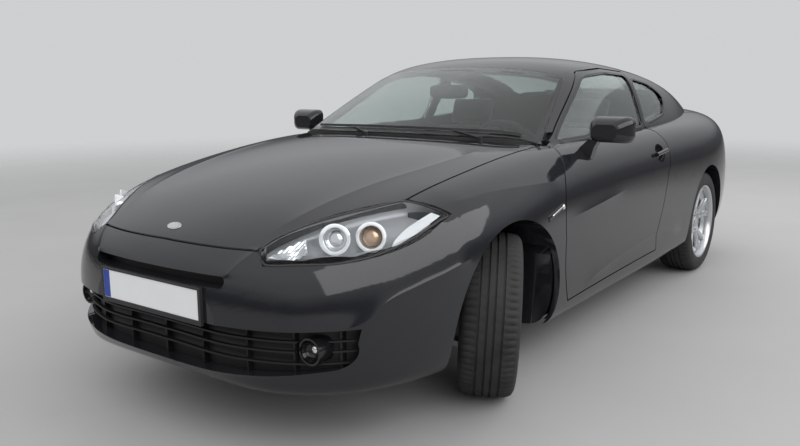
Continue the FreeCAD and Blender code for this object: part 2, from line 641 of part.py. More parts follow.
def makeGrilles():
    # The intake's back, bars and ribs in one moulding, and the blank behind the slot above the plate.
    low, high = up(270), up(460)
    mouth = Part.Face(polygonWire(INTAKE_OUTLINE, lambda y, z: Vector(along(1500), across(y), up(z))))
    mouth = inset(mouth, seam).extrude(Vector(1300, 0, 0))
    mouth = mouth.fuse(block(along(1500), NOSE_X, 0, 10, up(290), up(440)))
    back = noseBand(380, 70, 80, low, high)
    bars = [noseBand(380, 36, 50, up(height) - 3, up(height) + 3) for height in (335, 372, 405)]
    ribs = [block(along(1700), NOSE_X, across(y), across(y) + 5, low, high) for y in (0, 190, 380, 530, 645)]
    ribs = [noseBand(380, 50, 71, low, high).common(rib) for rib in ribs]
    lampRoom = Part.makeCylinder(fogRadius + 3, 400, fogPlace - Vector(200, 0, 0), Vector(1, 0, 0))
    slats = fuseAll(bars + ribs).cut(lampRoom)
    lower = whole(keepLargest(fuseAll([back, slats]).common(mouth)))
    slot = Part.Face(polygonWire(SLOT_OUTLINE, lambda y, z: Vector(along(1500), across(y), up(z))))
    slot = inset(slot, seam).extrude(Vector(1300, 0, 0))
    slot = slot.fuse(block(along(1500), NOSE_X, 0, 10, up(562) + seam, up(599)))
    blank = whole(keepLargest(noseBand(580, 50, 58, up(540), up(620)).common(slot)))
    return Part.makeCompound([lower, blank])


def makeTailLamp():
    lamp = outerHalf.common(frontPrism(TAIL_LAMP_OUTLINE, TAIL_X, along(-1930) - seam)).cut(tailgateCut)
    return keepLargest(lamp.cut(moved(outerHalf, 60, -40, 0)).cut(rearBumperCut))


def makeCowl():
    low = up(848)
    top = moved(outerHalf, 0, 0, -28).common(planPrism(COWL_OUTLINE, low, up(1100)))
    sillOutline = [(918, 0), ("via", 835, 440), (703, 677), (672, 668), ("via", 802, 430), (886, 0)]
    sill = moved(outerHalf, 0, 0, -glass * 1.25 - 1).common(planPrism(sillOutline, low, up(1100)))
    plate = block(bulkheadX + seam, bulkheadX + 12, 0, across(640), floorBottom, low + 1)
    plate = plate.cut(Part.makeCylinder(50, 40, Vector(bulkheadX - 10, 0, 250), Vector(1, 0, 0)))
    shelf = block(along(700), bulkheadX + 90, 0, across(640), low - 12, low + 1)
    x, y, z = bonnetHingeX, bonnetLugY, bonnetHingeZ
    bracket = block(x - 8, x + 8, y - 17, y - 4, low - 12, z + 6)
    stud = crossRod(x, y - 15, z, pin, 26)
    room = block(x - 14, along(900), y - 3, y + 15, z - 16, up(1000))
    step = block(along(600), along(900), y - 4, y + 15, z - 20, up(1000))
    half = cutAll(fuseAll([keepLargest(top), keepLargest(sill), plate, shelf]), [room, step])
    return whole(keepLargest(fuseAll([half, bracket, stud])))


def makeFloor():
    tunnel = size("tunnelRadius")
    long = bulkheadX - seatBackX + 12
    start = seatBackX - 12
    floor = block(start, bulkheadX, 0, floorHalf, floorBottom, floorTop)
    hump = Part.makeCylinder(tunnel, long, Vector(start, 0, 200), Vector(1, 0, 0))
    channel = Part.makeCylinder(tunnel - 12, long, Vector(start, 0, 200), Vector(1, 0, 0))
    heel = block(start, seatBackX, 0, bootHalf, floorTop - 5, bootTop)
    bootPlate = block(along(-2080), seatBackX - 2, 0, rearFloorHalf - seam, bootTop - 30, bootTop - seam)
    well = Part.makeCylinder(230, 112, Vector(along(-1570), 0, bootTop - 140))
    wellInside = Part.makeCylinder(218, 140, Vector(along(-1570), 0, bootTop - 128))
    padBottom = floorBottom - size("padDepth")
    pads = [block(x - 45, x + 45, floorHalf - 60, floorHalf - 1, padBottom, floorBottom + 4)
            for x in (along(650), along(-750))]
    half = fuseAll([floor, hump, heel, bootPlate, well] + pads)
    return whole(keepLargest(cutAll(half, [
        channel, wellInside, block(TAIL_X, NOSE_X, -500, 0, 0, 900),
        block(TAIL_X, NOSE_X, 0, tunnel - 13, 0, floorBottom - 3),
        block(start, bulkheadX, 0, tunnel - 14, floorBottom - 20, 200), archRear])))


# Front running gear, first as it stands with the wheels straight ahead.
tilt = math.radians(size("kingpinTilt"))
caster = math.radians(size("caster"))
kingpinFoot = Vector(frontAxleX, wheelY - size("kingpinInset"), tyreR)
kingpin = {1: Vector(-math.tan(caster), -math.tan(tilt), 1).normalize(),
           -1: Vector(-math.tan(caster), math.tan(tilt), 1).normalize()}
strutTop = kingpinFoot + kingpin[1] * ((up(size("strutTopHeight")) - tyreR) / kingpin[1].z)
crossMemberTop = 262


def makeFrontFrame():
    inner = houseInner
    thick = size("linerThickness")
    outerEdge = across(640)
    centre = Vector(frontAxleX, inner, archHeight)
    ring = Part.makeCylinder(archRadius + thick, outerEdge - seam - inner, centre, Vector(0, 1, 0))
    ring = ring.cut(Part.makeCylinder(archRadius, outerEdge, centre + Vector(0, thick, 0), Vector(0, 1, 0)))
    ring = ring.cut(block(along(500), NOSE_X, 0, FAR, 0, 300))
    ring = ring.cut(Part.makeCylinder(52, 600, Vector(strutTop.x, strutTop.y, 400)))
    ring = ring.cut(block(along(500), bulkheadX + 13, 0, FAR, 0, up(900)))
    rail = block(bulkheadX + 13, along(1896), railInner, inner + 1, 300, 400)
    towerX = (frontAxleX - 90, frontAxleX + 50)
    tower = block(towerX[0], towerX[1], inner, outerEdge - 1, strutTop.z + 22, strutTop.z + 36)
    wall = block(towerX[0], towerX[1], inner, inner + thick, 600, strutTop.z + 36)
    support = block(along(1890), along(1920), 0, inner, 250, up(640))
    half = fuseAll([ring, rail, tower, wall, support])
    return whole(keepLargest(half.cut(block(frontAxleX - 257, along(1850), 0, railInner - 1, 0, up(900)))))


def makeTyre():
    body = doc.addObject("PartDesign::Body", "TyreBody")
    origin = [item for item in body.Origin.OriginFeatures if item.Role == "YZ_Plane"][0]
    sketch = body.newObject("Sketcher::SketchObject", "TyreProfile")
    sketch.AttachmentSupport = [(origin, "")]
    sketch.MapMode = "FlatFace"
    half = size("tyreWidth") / 2
    bead = beadR
    shoulder = size("tyreShoulder")
    right = [(half - 20, bead), (half - 20, bead + 14), (half - 4, bead + 24), (half, bead + 48),
             (half - 4, tyreR - shoulder), (half - 12, tyreR - 9), (half - 24, tyreR)]
    points = right + [(-y, r) for y, r in reversed(right)]
    corners = [Vector(y, r, 0) for y, r in points]
    for start, end in zip(corners, corners[1:] + corners[:1]):
        sketch.addGeometry(Part.LineSegment(start, end), False)
    turn = body.newObject("PartDesign::Revolution", "TyreTurn")
    turn.Profile = sketch
    turn.ReferenceAxis = (sketch, ["H_Axis"])
    turn.Angle = 360
    doc.recompute()
    return body.Shape.copy()


def polar(radius, degrees):
    angle = math.radians(degrees)
    return Vector(radius * math.sin(angle), 0, radius * math.cos(angle))


def revolve(points):
    wire = Part.makePolygon([Vector(0, y, r) for y, r in points + [points[0]]])
    return Part.Face(wire).revolve(Vector(0, 0, 0), Vector(0, 1, 0), 360)


def rimWindow(corners):
    # Corners and arc middles in turn: each pair of ends is joined by an arc where its middle is given.
    edges = []
    for index, (start, middle) in enumerate(corners):
        end = corners[(index + 1) % len(corners)][0]
        edges.append(Part.Arc(start, middle, end).toShape() if middle else Part.makeLine(start, end))
    return Part.Face(Part.Wire(edges)).extrude(Vector(0, 120, 0))


def makeRim():
    lip = beadR + size("rimFlange")
    bead = beadR - seam
    wall = size("rimWall")
    deep = bead - size("wellDepth")
    inside = bead - wall
    barrel = [(100, lip), (90, lip), (88, bead), (60, bead), (40, deep), (-40, deep), (-60, bead),
              (-88, bead), (-90, lip), (-100, lip), (-100, lip - wall), (-88, inside), (-62, inside),
              (-42, deep - wall), (42, deep - wall), (62, inside), (84, inside), (100, lip - wall)]
    hub = size("hubRadius")
    thick = size("spokeThickness")
    face = [(60, 0), (60, 30), (56, hub), (60, 130), (78, inside + 2), (78 - thick, inside + 2),
            (60 - thick, 130), (50 - thick, hub), (-39, hub), (-39, 0)]
    disc = size("discRadius")
    rotorFront = size("discThickness") - 39
    rotor = [(-39, 0), (-39, disc), (rotorFront, disc), (rotorFront, 0)]
    inner, outer = hub + 8, beadR - size("windowRim")
    solid = revolve(face)
    for step in range(5):
        turn = step * 72
        wide = rimWindow([
            (polar(inner, turn - 18), polar(inner, turn)), (polar(inner, turn + 18), None),
            (polar(outer, turn + 14.5), polar(outer, turn)), (polar(outer, turn - 14.5), None)])
        turn += 36
        slim = rimWindow([
            (polar(inner + 34, turn - 3), None), (polar(inner + 34, turn + 3), None),
            (polar(outer, turn + 12.5), polar(outer, turn)), (polar(outer, turn - 12.5), None)])
        solid = solid.cut(wide).cut(slim)
    solid = fuseAll([solid, revolve(barrel), revolve(rotor)])
    bore = crossRod(0, -39, 0, size("hubBoreRadius") + run, 39 + 25)
    return keepLargest(solid.cut(bore).removeSplitter())


def makeKnuckle():
    x, y, z = frontAxleX, wheelY, tyreR
    parts = [
        block(x - 36, x + 36, y - 105, y - 55, z - 90.5, z + 112.5),
        rod(Vector(x, y - 60, z), Vector(x, y + 20, z), size("hubBoreRadius")),
        block(x - 32, x + 32, y - 170, y - 60, z + 82.5, z + 117.5),
        rod(Vector(x - 6, y - 157, z + 77.5), strutTop, 24),
        rod(kingpinFoot + kingpin[1] * (-134), kingpinFoot + kingpin[1] * (-80), 11),
        block(x + 30, x + 110, y - 70, y - 48, z - 37.5, z + 37.5),
        block(x + 84, x + 148, y - 60, y, z - 40.5, z + 39.5),
    ]
    slot = crossRod(x, y - 43, z, size("discRadius") + 5, size("discThickness") + 8)
    return keepLargest(fuseAll(parts).cut(slot))


tyreShape = makeTyre()
rimShape = makeRim()
steer = size("steerAtRest")


def wheelAt(x, side):
    return Placement(Vector(x, side * wheelY, tyreR), Rotation(Vector(0, 0, 1), 0 if side > 0 else 180))


def wheelPlacement(side):
    place = wheelAt(frontAxleX, side)
    base = Vector(kingpinFoot.x, side * kingpinFoot.y, kingpinFoot.z)
    turn = Placement(Vector(0, 0, 0), Rotation(kingpin[side], steer), base)
    return turn, turn.multiply(place)


def standing(side):
    # The springs give until the turned tyre meets the ground.
    tyre = tyreShape.copy()
    tyre.Placement = wheelPlacement(side)[1]
    return -tyre.optimalBoundingBox(True, False).ZMin


def placed(shape, place, rise):
    copy = shape.copy()
    copy.Placement = Placement(Vector(0, 0, rise), Rotation()).multiply(place)
    return copy


rise = {side: standing(side) for side in (1, -1)}


def makeFrontSuspension():
    x = frontAxleX
    reach = houseInner - 10
    shapes = [block(x - 78, x + 35, -reach, reach, 205, crossMemberTop)]
    for side in (1, -1):
        base = Vector(kingpinFoot.x, side * kingpinFoot.y, kingpinFoot.z + rise[side])
        ball = base + kingpin[side] * (-122)
        y0, y1 = sorted((side * (reach - 5), ball.y))
        arm = block(x - 24, x + 36, y0, y1, 183, 205)
        arm = arm.fuse(Part.makeCylinder(18, 22, Vector(ball.x, ball.y, 183)))
        hole = Part.makeCylinder(11 + run, 100, base + kingpin[side] * (-160), kingpin[side])
        shapes.append(arm.cut(hole))
    return fuseAll(shapes)


def makeRearSuspension():
    x = rearAxleX
    parts = [block(x - 48, x + 48, -rearFloorHalf - 2, rearFloorHalf + 2, 285, 335)]
    for side in (1, -1):
        carrier = sorted((side * rearFloorHalf, side * (wheelY - 57)))
        arm = sorted((side * (rearFloorHalf - 110), side * (rearFloorHalf - 60)))
        axle = [Vector(x, side * (wheelY + off), tyreR) for off in (-65, 20)]
        strutFoot = Vector(x, side * (rearFloorHalf + 24), tyreR + 82.5)
        strut = Part.makeCylinder(18, rearArchHeight + rearArchRadius - 1.5 - strutFoot.z, strutFoot)
        parts += [
            block(x - 48, x + 48, carrier[0], carrier[1], tyreR - 62.5, tyreR + 87.5),
            rod(axle[0], axle[1], size("hubBoreRadius")), strut,
            block(x + 40, seatBackX - 13, arm[0], arm[1], 290, 320)]
    return fuseAll(parts)


engineX = frontAxleX - 42.5
engineHalf = railInner - size("engineRoom")


def makeExhaust():
    r = size("exhaustRadius")
    bend = Vector(engineX - 105, 0, crossMemberTop)
    rear = along(-1800)
    tip = along(-2195)
    pipe = rod(Vector(engineX + 15, 0, 345), bend, r)
    pipe = pipe.cut(block(engineX - seam, engineX + 285, -100, 100, 200, 600))
    under = Vector(rear, 0, 250)
    mouth = Vector(tip, tailPipeY, 262)
    shape = fuseAll([
        pipe, Part.makeSphere(r, bend), rod(bend, under, r * 0.8), crossRod(rear - 130, -380, 275, 78, 760),
        rod(under, Vector(rear - 100, 0, 262), r * 0.8), crossRod(tip + 205, tailPipeY - 45, 262, r, 46),
        rod(mouth + Vector(235, 0, 0), mouth, r)])
    return keepLargest(shape.cut(rod(mouth - Vector(1, 0, 0), mouth + Vector(75, 0, 0), r - 4)))


def rounded(shape, radius):
    return shape.makeFillet(radius, shape.Edges)


consoleHalf = 105
seatInner = consoleHalf + size("seatInnerRoom")
seatOuter = trim - size("seatSideRoom")
seatCentre = (seatInner + seatOuter) / 2


def makeSeats():
    wide = seatOuter - seatInner
    top = size("seatTop")
    high = size("seatBackHeight")
    rear = along(-270)
    seats = []
    for side in (1, -1):
        y = side * seatCentre - wide / 2
        front = rear + size("seatLength")
        cushion = rounded(block(rear, front, y, y + wide, top - 140, top), 38)
        base = block(rear + 50, front - 60, y + 50, y + wide - 50, floorTop + seam, top - 100)
        back = rounded(Part.makeBox(125, wide, high, Vector(-125, y, 0)), 38)
        head = rounded(Part.makeBox(95, 270, 165, Vector(-110, y + (wide - 270) / 2, high + 25)), 34)
        posts = [Part.makeCylinder(7, 70, Vector(-62, y + wide / 2 + off, high - 20)) for off in (-70, 70)]
        upper = fuseAll([back, head] + posts)
        upper.Placement = Placement(Vector(rear + 80, 0, top - 75), Rotation(Vector(0, 1, 0), -20))
        seats.append(keepLargest(fuseAll([cushion, base, upper])))
    return Part.makeCompound(seats)


def crossPrism(profile, half):
    # A side profile drawn in X and Z, as wide as half to each side.
    wire = Part.makePolygon([Vector(x, -half, z) for x, z in profile + [profile[0]]])
    return Part.Face(wire).extrude(Vector(0, 2 * half, 0))


def tunnelShape(extra):
    return rod(Vector(TAIL_X, 0, 200), Vector(NOSE_X, 0, 200), size("tunnelRadius") + extra)


def makeRearSeat():
    front, back = along(-560), seatBackX + seam
    low = floorTop + seam
    profile = [(front, low), (front, floorTop + 195), (along(-900), floorTop + 220),
               (along(-1005), up(850)), (back, up(850)), (back, low)]
    return keepLargest(crossPrism(profile, across(585)).cut(tunnelShape(seam)))


columnTilt = math.radians(size("columnTilt"))
columnAxis = Vector(-math.cos(columnTilt), 0, math.sin(columnTilt))
wheelCentre = Vector(along(415), seatCentre, up(828))
columnRadius = 20


def makeDash():
    front = bulkheadX - seam
    places = [(700, 835), (640, 828), (592, 790), (600, 700), (690, 620), (760, 560)]
    profile = [(front, up(560)), (front, up(835))] + [(along(x), up(z)) for x, z in places]
    dash = crossPrism(profile, across(635))
    middle = up(790)
    hood = rod(Vector(along(560), seatCentre, middle), Vector(along(700), seatCentre, middle), 92)
    hood = hood.cut(rod(Vector(along(555), seatCentre, middle), Vector(along(590), seatCentre, middle), 80))
    stack = block(along(560), along(660), -150, 150, up(600), up(815))
    bore = Part.makeCylinder(columnRadius + run, 400, wheelCentre, columnAxis * -1)
    return keepLargest(fuseAll([dash, hood, stack]).cut(bore))


def makeConsole():
    places = [(675, 300), (675, 598), (575, 598), (500, 455), (-200, 430), (-200, 300)]
    console = crossPrism([(along(x), up(z)) for x, z in places], consoleHalf).cut(tunnelShape(seam))
    foot = Vector(along(390), 0, 440)
    lever = rod(foot, foot + Vector(-15, 0, 100), 9)
    knob = Part.makeSphere(24, foot + Vector(-17, 0, 115))
    return keepLargest(fuseAll([console, lever, knob]))


def primitive(kind, name, expressions, place=Placement()):
    piece = doc.addObject(kind, name)
    piece.Label = name
    for property, expression in expressions.items():
        piece.setExpression(property, expression)
    piece.Placement = place
    return piece


def makeSteeringWheel():
    parts = [
        primitive("Part::Torus", "WheelRing", {"Radius1": "Sizes.steeringWheelRadius",
                                               "Radius2": "Sizes.steeringRimRadius"}),
        primitive("Part::Cylinder", "WheelBoss", {"Radius": "Sizes.steeringWheelRadius / 3",
                                                  "Height": "34"}, Placement(Vector(0, 0, -22), Rotation())),
        primitive("Part::Cylinder", "WheelColumn", {"Radius": "%g" % columnRadius, "Height": "245"},
                  Placement(Vector(0, 0, -245), Rotation())),
    ]
    for index, angle in enumerate((0, 90, 180, 270)):
        turn = Rotation(Vector(0, 0, 1), angle)
        spoke = {"Length": "Sizes.steeringWheelRadius - 20", "Width": "30", "Height": "12"}
        parts.append(primitive("Part::Box", "WheelSpoke%d" % index, spoke,
                               Placement(turn.multVec(Vector(20, -15, -9)), turn)))
    wheel = doc.addObject("Part::MultiFuse", "steering_wheel")
    wheel.Label = "steering_wheel"
    wheel.Shapes = parts
    wheel.Placement = Placement(wheelCentre, Rotation(Vector(0, 0, 1), columnAxis))
    pieces["steering_wheel"] = wheel


def makeEngine():
    beside = "Sizes.wheelInset + Sizes.steeringRoom + Sizes.railWidth + Sizes.engineRoom"
    engine = primitive("Part::Box", "engine", {
        "Length": "Sizes.engineLength", "Height": "Sizes.engineHeight",
        "Width": "Sizes.bodyWidth - 2 * (%s)" % beside})
    engine.Placement = Placement(Vector(engineX, -engineHalf, crossMemberTop + seam), Rotation())
    pieces["engine"] = engine


def makePlate(name, x, z):
    plate = primitive("Part::Box", name, {"Length": "Sizes.plateThickness - Sizes.seamGap",
                                          "Width": "Sizes.plateWidth", "Height": "Sizes.plateHeight"})
    plate.Placement = Placement(Vector(x, -size("plateWidth") / 2, z - size("plateHeight") / 2), Rotation())
    pieces[name] = plate


def makeWipers():
    # Each blade follows the foot of the windscreen; its arm leads to a shaft that stands in the cowl.
    wipers = []
    bow = 0.00043
    for start, end, pivot in ((600, 40, 470), (60, -500, -80)):
        points = []
        for step in range(7):
            y = start + (end - start) * step / 6
            x = along(918 - bow * y * y - 26)
            points.append(Vector(x, across(y), skinPoint(x=x, y=across(y)) + 9))
        line = Part.BSplineCurve()
        line.interpolate(points)
        first = points[0]
        corners = [first + Vector(dx, 0, dz) for dx, dz in ((-4, -5), (4, -5), (2, 6), (-2, 6), (-4, -5))]
        blade = Part.Wire(line.toShape()).makePipeShell([Part.makePolygon(corners)], True, False)
        x, y = along(918 - bow * pivot * pivot + 26), across(pivot)
        foot = skinPoint(x=x - 12, y=y) - 28 + 0.6
        top = Vector(x, y, skinPoint(x=x, y=y) + 12)
        shaft = Part.makeCylinder(9, top.z - foot, Vector(x, y, foot))
        arm = rod(top - Vector(0, 0, 6), points[3], 4)
        wipers.append(keepLargest(fuseAll([blade, arm, shaft])))
    return Part.makeCompound(wipers)


def both(shape):
    return Part.makeCompound([shape, mirrored(shape)])


pair("side", makeSides())
pair("wing", makeWing())
feature("bonnet", makeBonnet())
feature("front_bumper", makeFrontBumper())
feature("rear_bumper", makeRearBumper())
feature("roof", makeRoof())
feature("windscreen", makeScreen())
lid, pane = makeTailgate()
feature("tailgate", lid)
feature("tailgate_glass", pane)
pair("door", makeDoor())
pair("door_glass", makeSideGlass(WINDOW_OUTLINE, seam))
feature("quarter_windows", both(makeSideGlass(QUARTER_OUTLINE, seam)))
pair("mirror", makeMirror())
lens, bowl = makeLamp()
feature("headlamp_lenses", both(lens))
feature("headlamps", both(bowl))
feature("fog_lamps", both(makeFogLamp()))
feature("tail_lamps", both(makeTailLamp()))
feature("grille", makeGrilles())
feature("bulkhead", makeCowl())
feature("floor_pan", makeFloor())
feature("front_frame", makeFrontFrame())
feature("front_suspension", makeFrontSuspension())
feature("rear_suspension", makeRearSuspension())
makeEngine()
feature("exhaust", makeExhaust())
feature("front_seats", makeSeats())
feature("rear_seat", makeRearSeat())
feature("dashboard", makeDash())
feature("console", makeConsole())
makeSteeringWheel()
makePlate("front_plate", halfLength + seam, up(498))
makePlate("rear_plate", -halfLength - size("plateThickness"), up(560))
feature("wipers", makeWipers())
knuckle = makeKnuckle()
for name, handed in (("left", 1), ("right", -1)):
    turn, place = wheelPlacement(handed)
    shape = knuckle if handed > 0 else mirrored(knuckle)
    feature("knuckle_" + name, placed(shape, turn.multiply(shape.Placement), rise[handed]))
    feature("tyre_front_" + name, placed(tyreShape, place, rise[handed]))
    feature("rim_front_" + name, placed(rimShape, place, rise[handed]))
    feature("tyre_rear_" + name, placed(tyreShape, wheelAt(rearAxleX, handed), 0))
    feature("rim_rear_" + name, placed(rimShape, wheelAt(rearAxleX, handed), 0))
    base = Vector(kingpinFoot.x, handed * kingpinFoot.y, kingpinFoot.z + rise[handed])
    hub = place.Base + Vector(0, 0, rise[handed])
    spin = place.Rotation.multVec(Vector(0, 1, 0)) * handed
    print("JOINT", name, "kingpin", tuple(base), tuple(kingpin[handed]), "hub", tuple(hub),
          "spin", tuple(spin))
print("JOINT tailgate", lidAxisX, lidAxisZ)
print("JOINT door", hingeX, hingeY)
print("JOINT bonnet", bonnetHingeX, bonnetHingeZ)
print("JOINT steering", wheelCentre.x, wheelCentre.y, wheelCentre.z)

doc.recompute()
faults = [item.Name for item in doc.Objects if "Invalid" in item.State or "Error" in item.State]
faults += [name for name, piece in pieces.items() if piece.Shape.isNull() or not piece.Shape.isValid()]
if faults:
    raise RuntimeError("failed objects: %s" % faults)
os.makedirs("parts", exist_ok=True)
for name, piece in pieces.items():
    piece.Shape.exportStep("parts/%s.step" % name)
print("wrote", len(pieces), "pieces")
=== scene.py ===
import json
import math

import bpy
from mathutils import Matrix, Vector
from mathutils.bvhtree import BVHTree


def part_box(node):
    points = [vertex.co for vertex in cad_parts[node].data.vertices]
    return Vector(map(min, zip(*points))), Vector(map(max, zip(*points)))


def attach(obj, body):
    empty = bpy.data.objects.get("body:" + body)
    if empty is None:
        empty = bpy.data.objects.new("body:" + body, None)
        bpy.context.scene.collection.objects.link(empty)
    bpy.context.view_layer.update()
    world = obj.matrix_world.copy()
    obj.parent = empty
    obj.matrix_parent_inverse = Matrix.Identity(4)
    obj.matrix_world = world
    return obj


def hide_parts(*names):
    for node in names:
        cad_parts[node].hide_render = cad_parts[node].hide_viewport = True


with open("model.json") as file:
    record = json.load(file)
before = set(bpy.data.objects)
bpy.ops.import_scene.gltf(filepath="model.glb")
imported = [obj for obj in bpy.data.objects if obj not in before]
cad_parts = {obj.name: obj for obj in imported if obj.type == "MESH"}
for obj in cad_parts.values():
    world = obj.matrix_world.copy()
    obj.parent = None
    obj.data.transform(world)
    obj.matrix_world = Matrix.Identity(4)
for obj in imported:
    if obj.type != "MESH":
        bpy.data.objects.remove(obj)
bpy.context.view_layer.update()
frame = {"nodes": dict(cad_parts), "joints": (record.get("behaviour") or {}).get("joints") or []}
nodes = frame["nodes"]
print("frame loaded:", len(nodes), "nodes")

# The camera stands ahead of the left front corner, a little lower than the roof.
camera = {"place": (3.71156, 2.14435, 1.19115), "yaw": -143.678, "pitch": -10.411, "roll": -0.307,
          "lens": 34.748, "sensor": 36}


def makeCamera():
    yaw, pitch, roll = (math.radians(camera[key]) for key in ("yaw", "pitch", "roll"))
    ahead = Vector((math.cos(yaw) * math.cos(pitch), math.sin(yaw) * math.cos(pitch), math.sin(pitch)))
    right = ahead.cross(Vector((0, 0, 1))).normalized()
    up = right.cross(ahead)
    right, up = math.cos(roll) * right + math.sin(roll) * up, math.cos(roll) * up - math.sin(roll) * right
    data = bpy.data.cameras.new("camera")
    data.lens = camera["lens"]
    data.sensor_width = camera["sensor"]
    data.clip_end = 200
    view = bpy.data.objects.new("camera", data)
    bpy.context.scene.collection.objects.link(view)
    turn = Matrix((right, up, -ahead)).transposed().to_4x4()
    view.matrix_world = Matrix.Translation(camera["place"]) @ turn
    bpy.context.scene.camera = view


makeCamera()


# Materials: Wire wraps a socket so that shader maths reads as sums.
class Wire:
    def __init__(self, tree, socket):
        self.tree = tree
        self.socket = socket

    def maths(self, kind, *values):
        step = self.tree.nodes.new("ShaderNodeMath")
        step.operation = kind
        for place, value in enumerate(values):
            if isinstance(value, Wire):
                self.tree.links.new(value.socket, step.inputs[place])
            else:
                step.inputs[place].default_value = value
        return Wire(self.tree, step.outputs[0])

    def __add__(self, other):
        return self.maths("ADD", self, other)

    __radd__ = __add__

    def __sub__(self, other):
        return self.maths("SUBTRACT", self, other)

    def __rsub__(self, other):
        return self.maths("SUBTRACT", other, self)

    def __mul__(self, other):
        return self.maths("MULTIPLY", self, other)

    __rmul__ = __mul__


class Finish:
    # The nodes of one material, or of the world when that is handed in.
    def __init__(self, name, world=None):
        self.material = world or bpy.data.materials.new(name)
        self.material.use_nodes = True
        self.tree = self.material.node_tree
        self.tree.nodes.clear()

    def node(self, kind, settings=None, out=0, **values):
        step = self.tree.nodes.new("ShaderNode" + kind)
        for key, value in (settings or {}).items():
            if key == "stops":
                self.setStops(step.color_ramp.elements, value)
            elif key == "knots":
                self.setKnots(step.mapping, value)
            else:
                setattr(step, key, value)
        for key, value in values.items():
            self.plug(step, key, value)
        return Wire(self.tree, step.outputs[out]) if step.outputs else None

    def setStops(self, ramp, stops):
        while len(ramp) < len(stops):
            ramp.new(0.5)
        for stop, (place, colour) in zip(ramp, stops):
            stop.position = place
            stop.color = tuple(colour) + (1,)

    def setKnots(self, mapping, knots):
        curve = mapping.curves[0].points
        while len(curve) < len(knots):
            curve.new(0.5, 0.5)
        for knot, place in zip(curve, knots):
            knot.location = place
        mapping.update()

    def plug(self, step, key, value):
        # i0, i1 and so on are sockets by number, and other keys are their names
        numbered = key[0] == "i" and key[1:].isdigit()
        socket = step.inputs[int(key[1:]) if numbered else key.replace("_", " ")]
        if isinstance(value, Wire):
            self.tree.links.new(value.socket, socket)
        elif isinstance(value, (tuple, list)) and socket.type == "RGBA":
            socket.default_value = tuple(value) + (1,) if len(value) == 3 else value
        else:
            socket.default_value = value

    def place(self, scale=1.0):
        spot = self.node("TexCoord", out=3)
        return self.node("Mapping", Vector=spot, Scale=(scale, scale, scale))

    def noise(self, scale, detail=3.0, roughness=0.5):
        return self.node("TexNoise", Vector=self.place(), Scale=scale, Detail=detail, Roughness=roughness)

    def mix(self, factor, first, second):
        return self.node("Mix", {"data_type": "RGBA"}, out=2, i0=factor, i6=first, i7=second)

    def ramp(self, factor, *stops):
        return self.node("ValToRGB", {"stops": stops}, Fac=factor)

    def between(self, value, low, high):
        # Rises smoothly from 0 to 1 while value goes from low to high.
        smooth = {"interpolation_type": "SMOOTHSTEP"}
        return self.node("MapRange", smooth, Value=value, From_Min=low, From_Max=high)

    def line(self, value, points):
        # A smooth function of value that runs through the points.
        low, high = points[0][0], points[-1][0]
        floor = min(y for x, y in points) - 0.01
        span = max(y for x, y in points) + 0.01 - floor
        knots = [((x - low) / (high - low), (y - floor) / span) for x, y in points]
        share = (value - low) * (1 / (high - low))
        return self.node("FloatCurve", {"knots": knots}, Value=share) * span + floor

    def crease(self, along, across, points, slope, wide, fade):
        # A pressed edge that runs along the points and dies away to both sides and at its ends.
        off = across - self.line(along, points)
        off = off.maths("ABSOLUTE", off) * (-1 / wide)
        low, high = points[0][0], points[-1][0]
        ends = self.between(along, low, low + fade) * self.between(along, high, high - fade)
        return off.maths("EXPONENT", off) * ends * (slope * wide)

    def bump(self, height, strength, distance):
        return self.node("Bump", Height=height, Strength=strength, Distance=distance)

    def surface(self, **values):
        self.node("OutputMaterial", Surface=self.node("BsdfPrincipled", **values))
        return self.material


# Pressed lines of the panels, each with its slope, its width and the length in which its ends fade.
# Wing, door, scallop and wedge are (X, Z), bonnet is (X, half width), beak (Z, half width), lip the reverse.
pressed = {
    "wing": ([(0.83, 0.797), (1.06, 0.802), (1.283, 0.805), (1.46, 0.793), (1.6, 0.78)],
             0.16, 0.03, 0.12),
    "door": ([(0.1, 0.68), (0.221, 0.671), (0.413, 0.658), (0.593, 0.647), (0.729, 0.641), (0.86, 0.633)],
             0.13, 0.03, 0.3),
    "scallop": ([(-0.8, 0.34), (-0.612, 0.363), (-0.344, 0.383), (0.105, 0.367), (0.419, 0.336),
                 (0.62, 0.308)], 0.16, 0.035, 0.2),
    "wedge": ([(1.54, 0.612), (1.653, 0.586), (1.778, 0.56), (1.882, 0.529), (1.977, 0.46), (2.04, 0.45)],
              0.2, 0.03, 0.08),
    "bonnet": ([(1.0, 0.569), (1.271, 0.553), (1.587, 0.496), (1.931, 0.418), (2.05, 0.385)],
               0.09, 0.05, 0.15),
    "beak": ([(0.59, 0.33), (0.63, 0.355), (0.66, 0.38), (0.69, 0.402)],
             0.2, 0.02, 0.02),
    "lip": ([(-0.2, 0.284), (0.1, 0.283), (0.323, 0.288), (0.543, 0.306), (0.65, 0.336), (0.7, 0.372)],
            0.45, 0.012, 0.03),
}


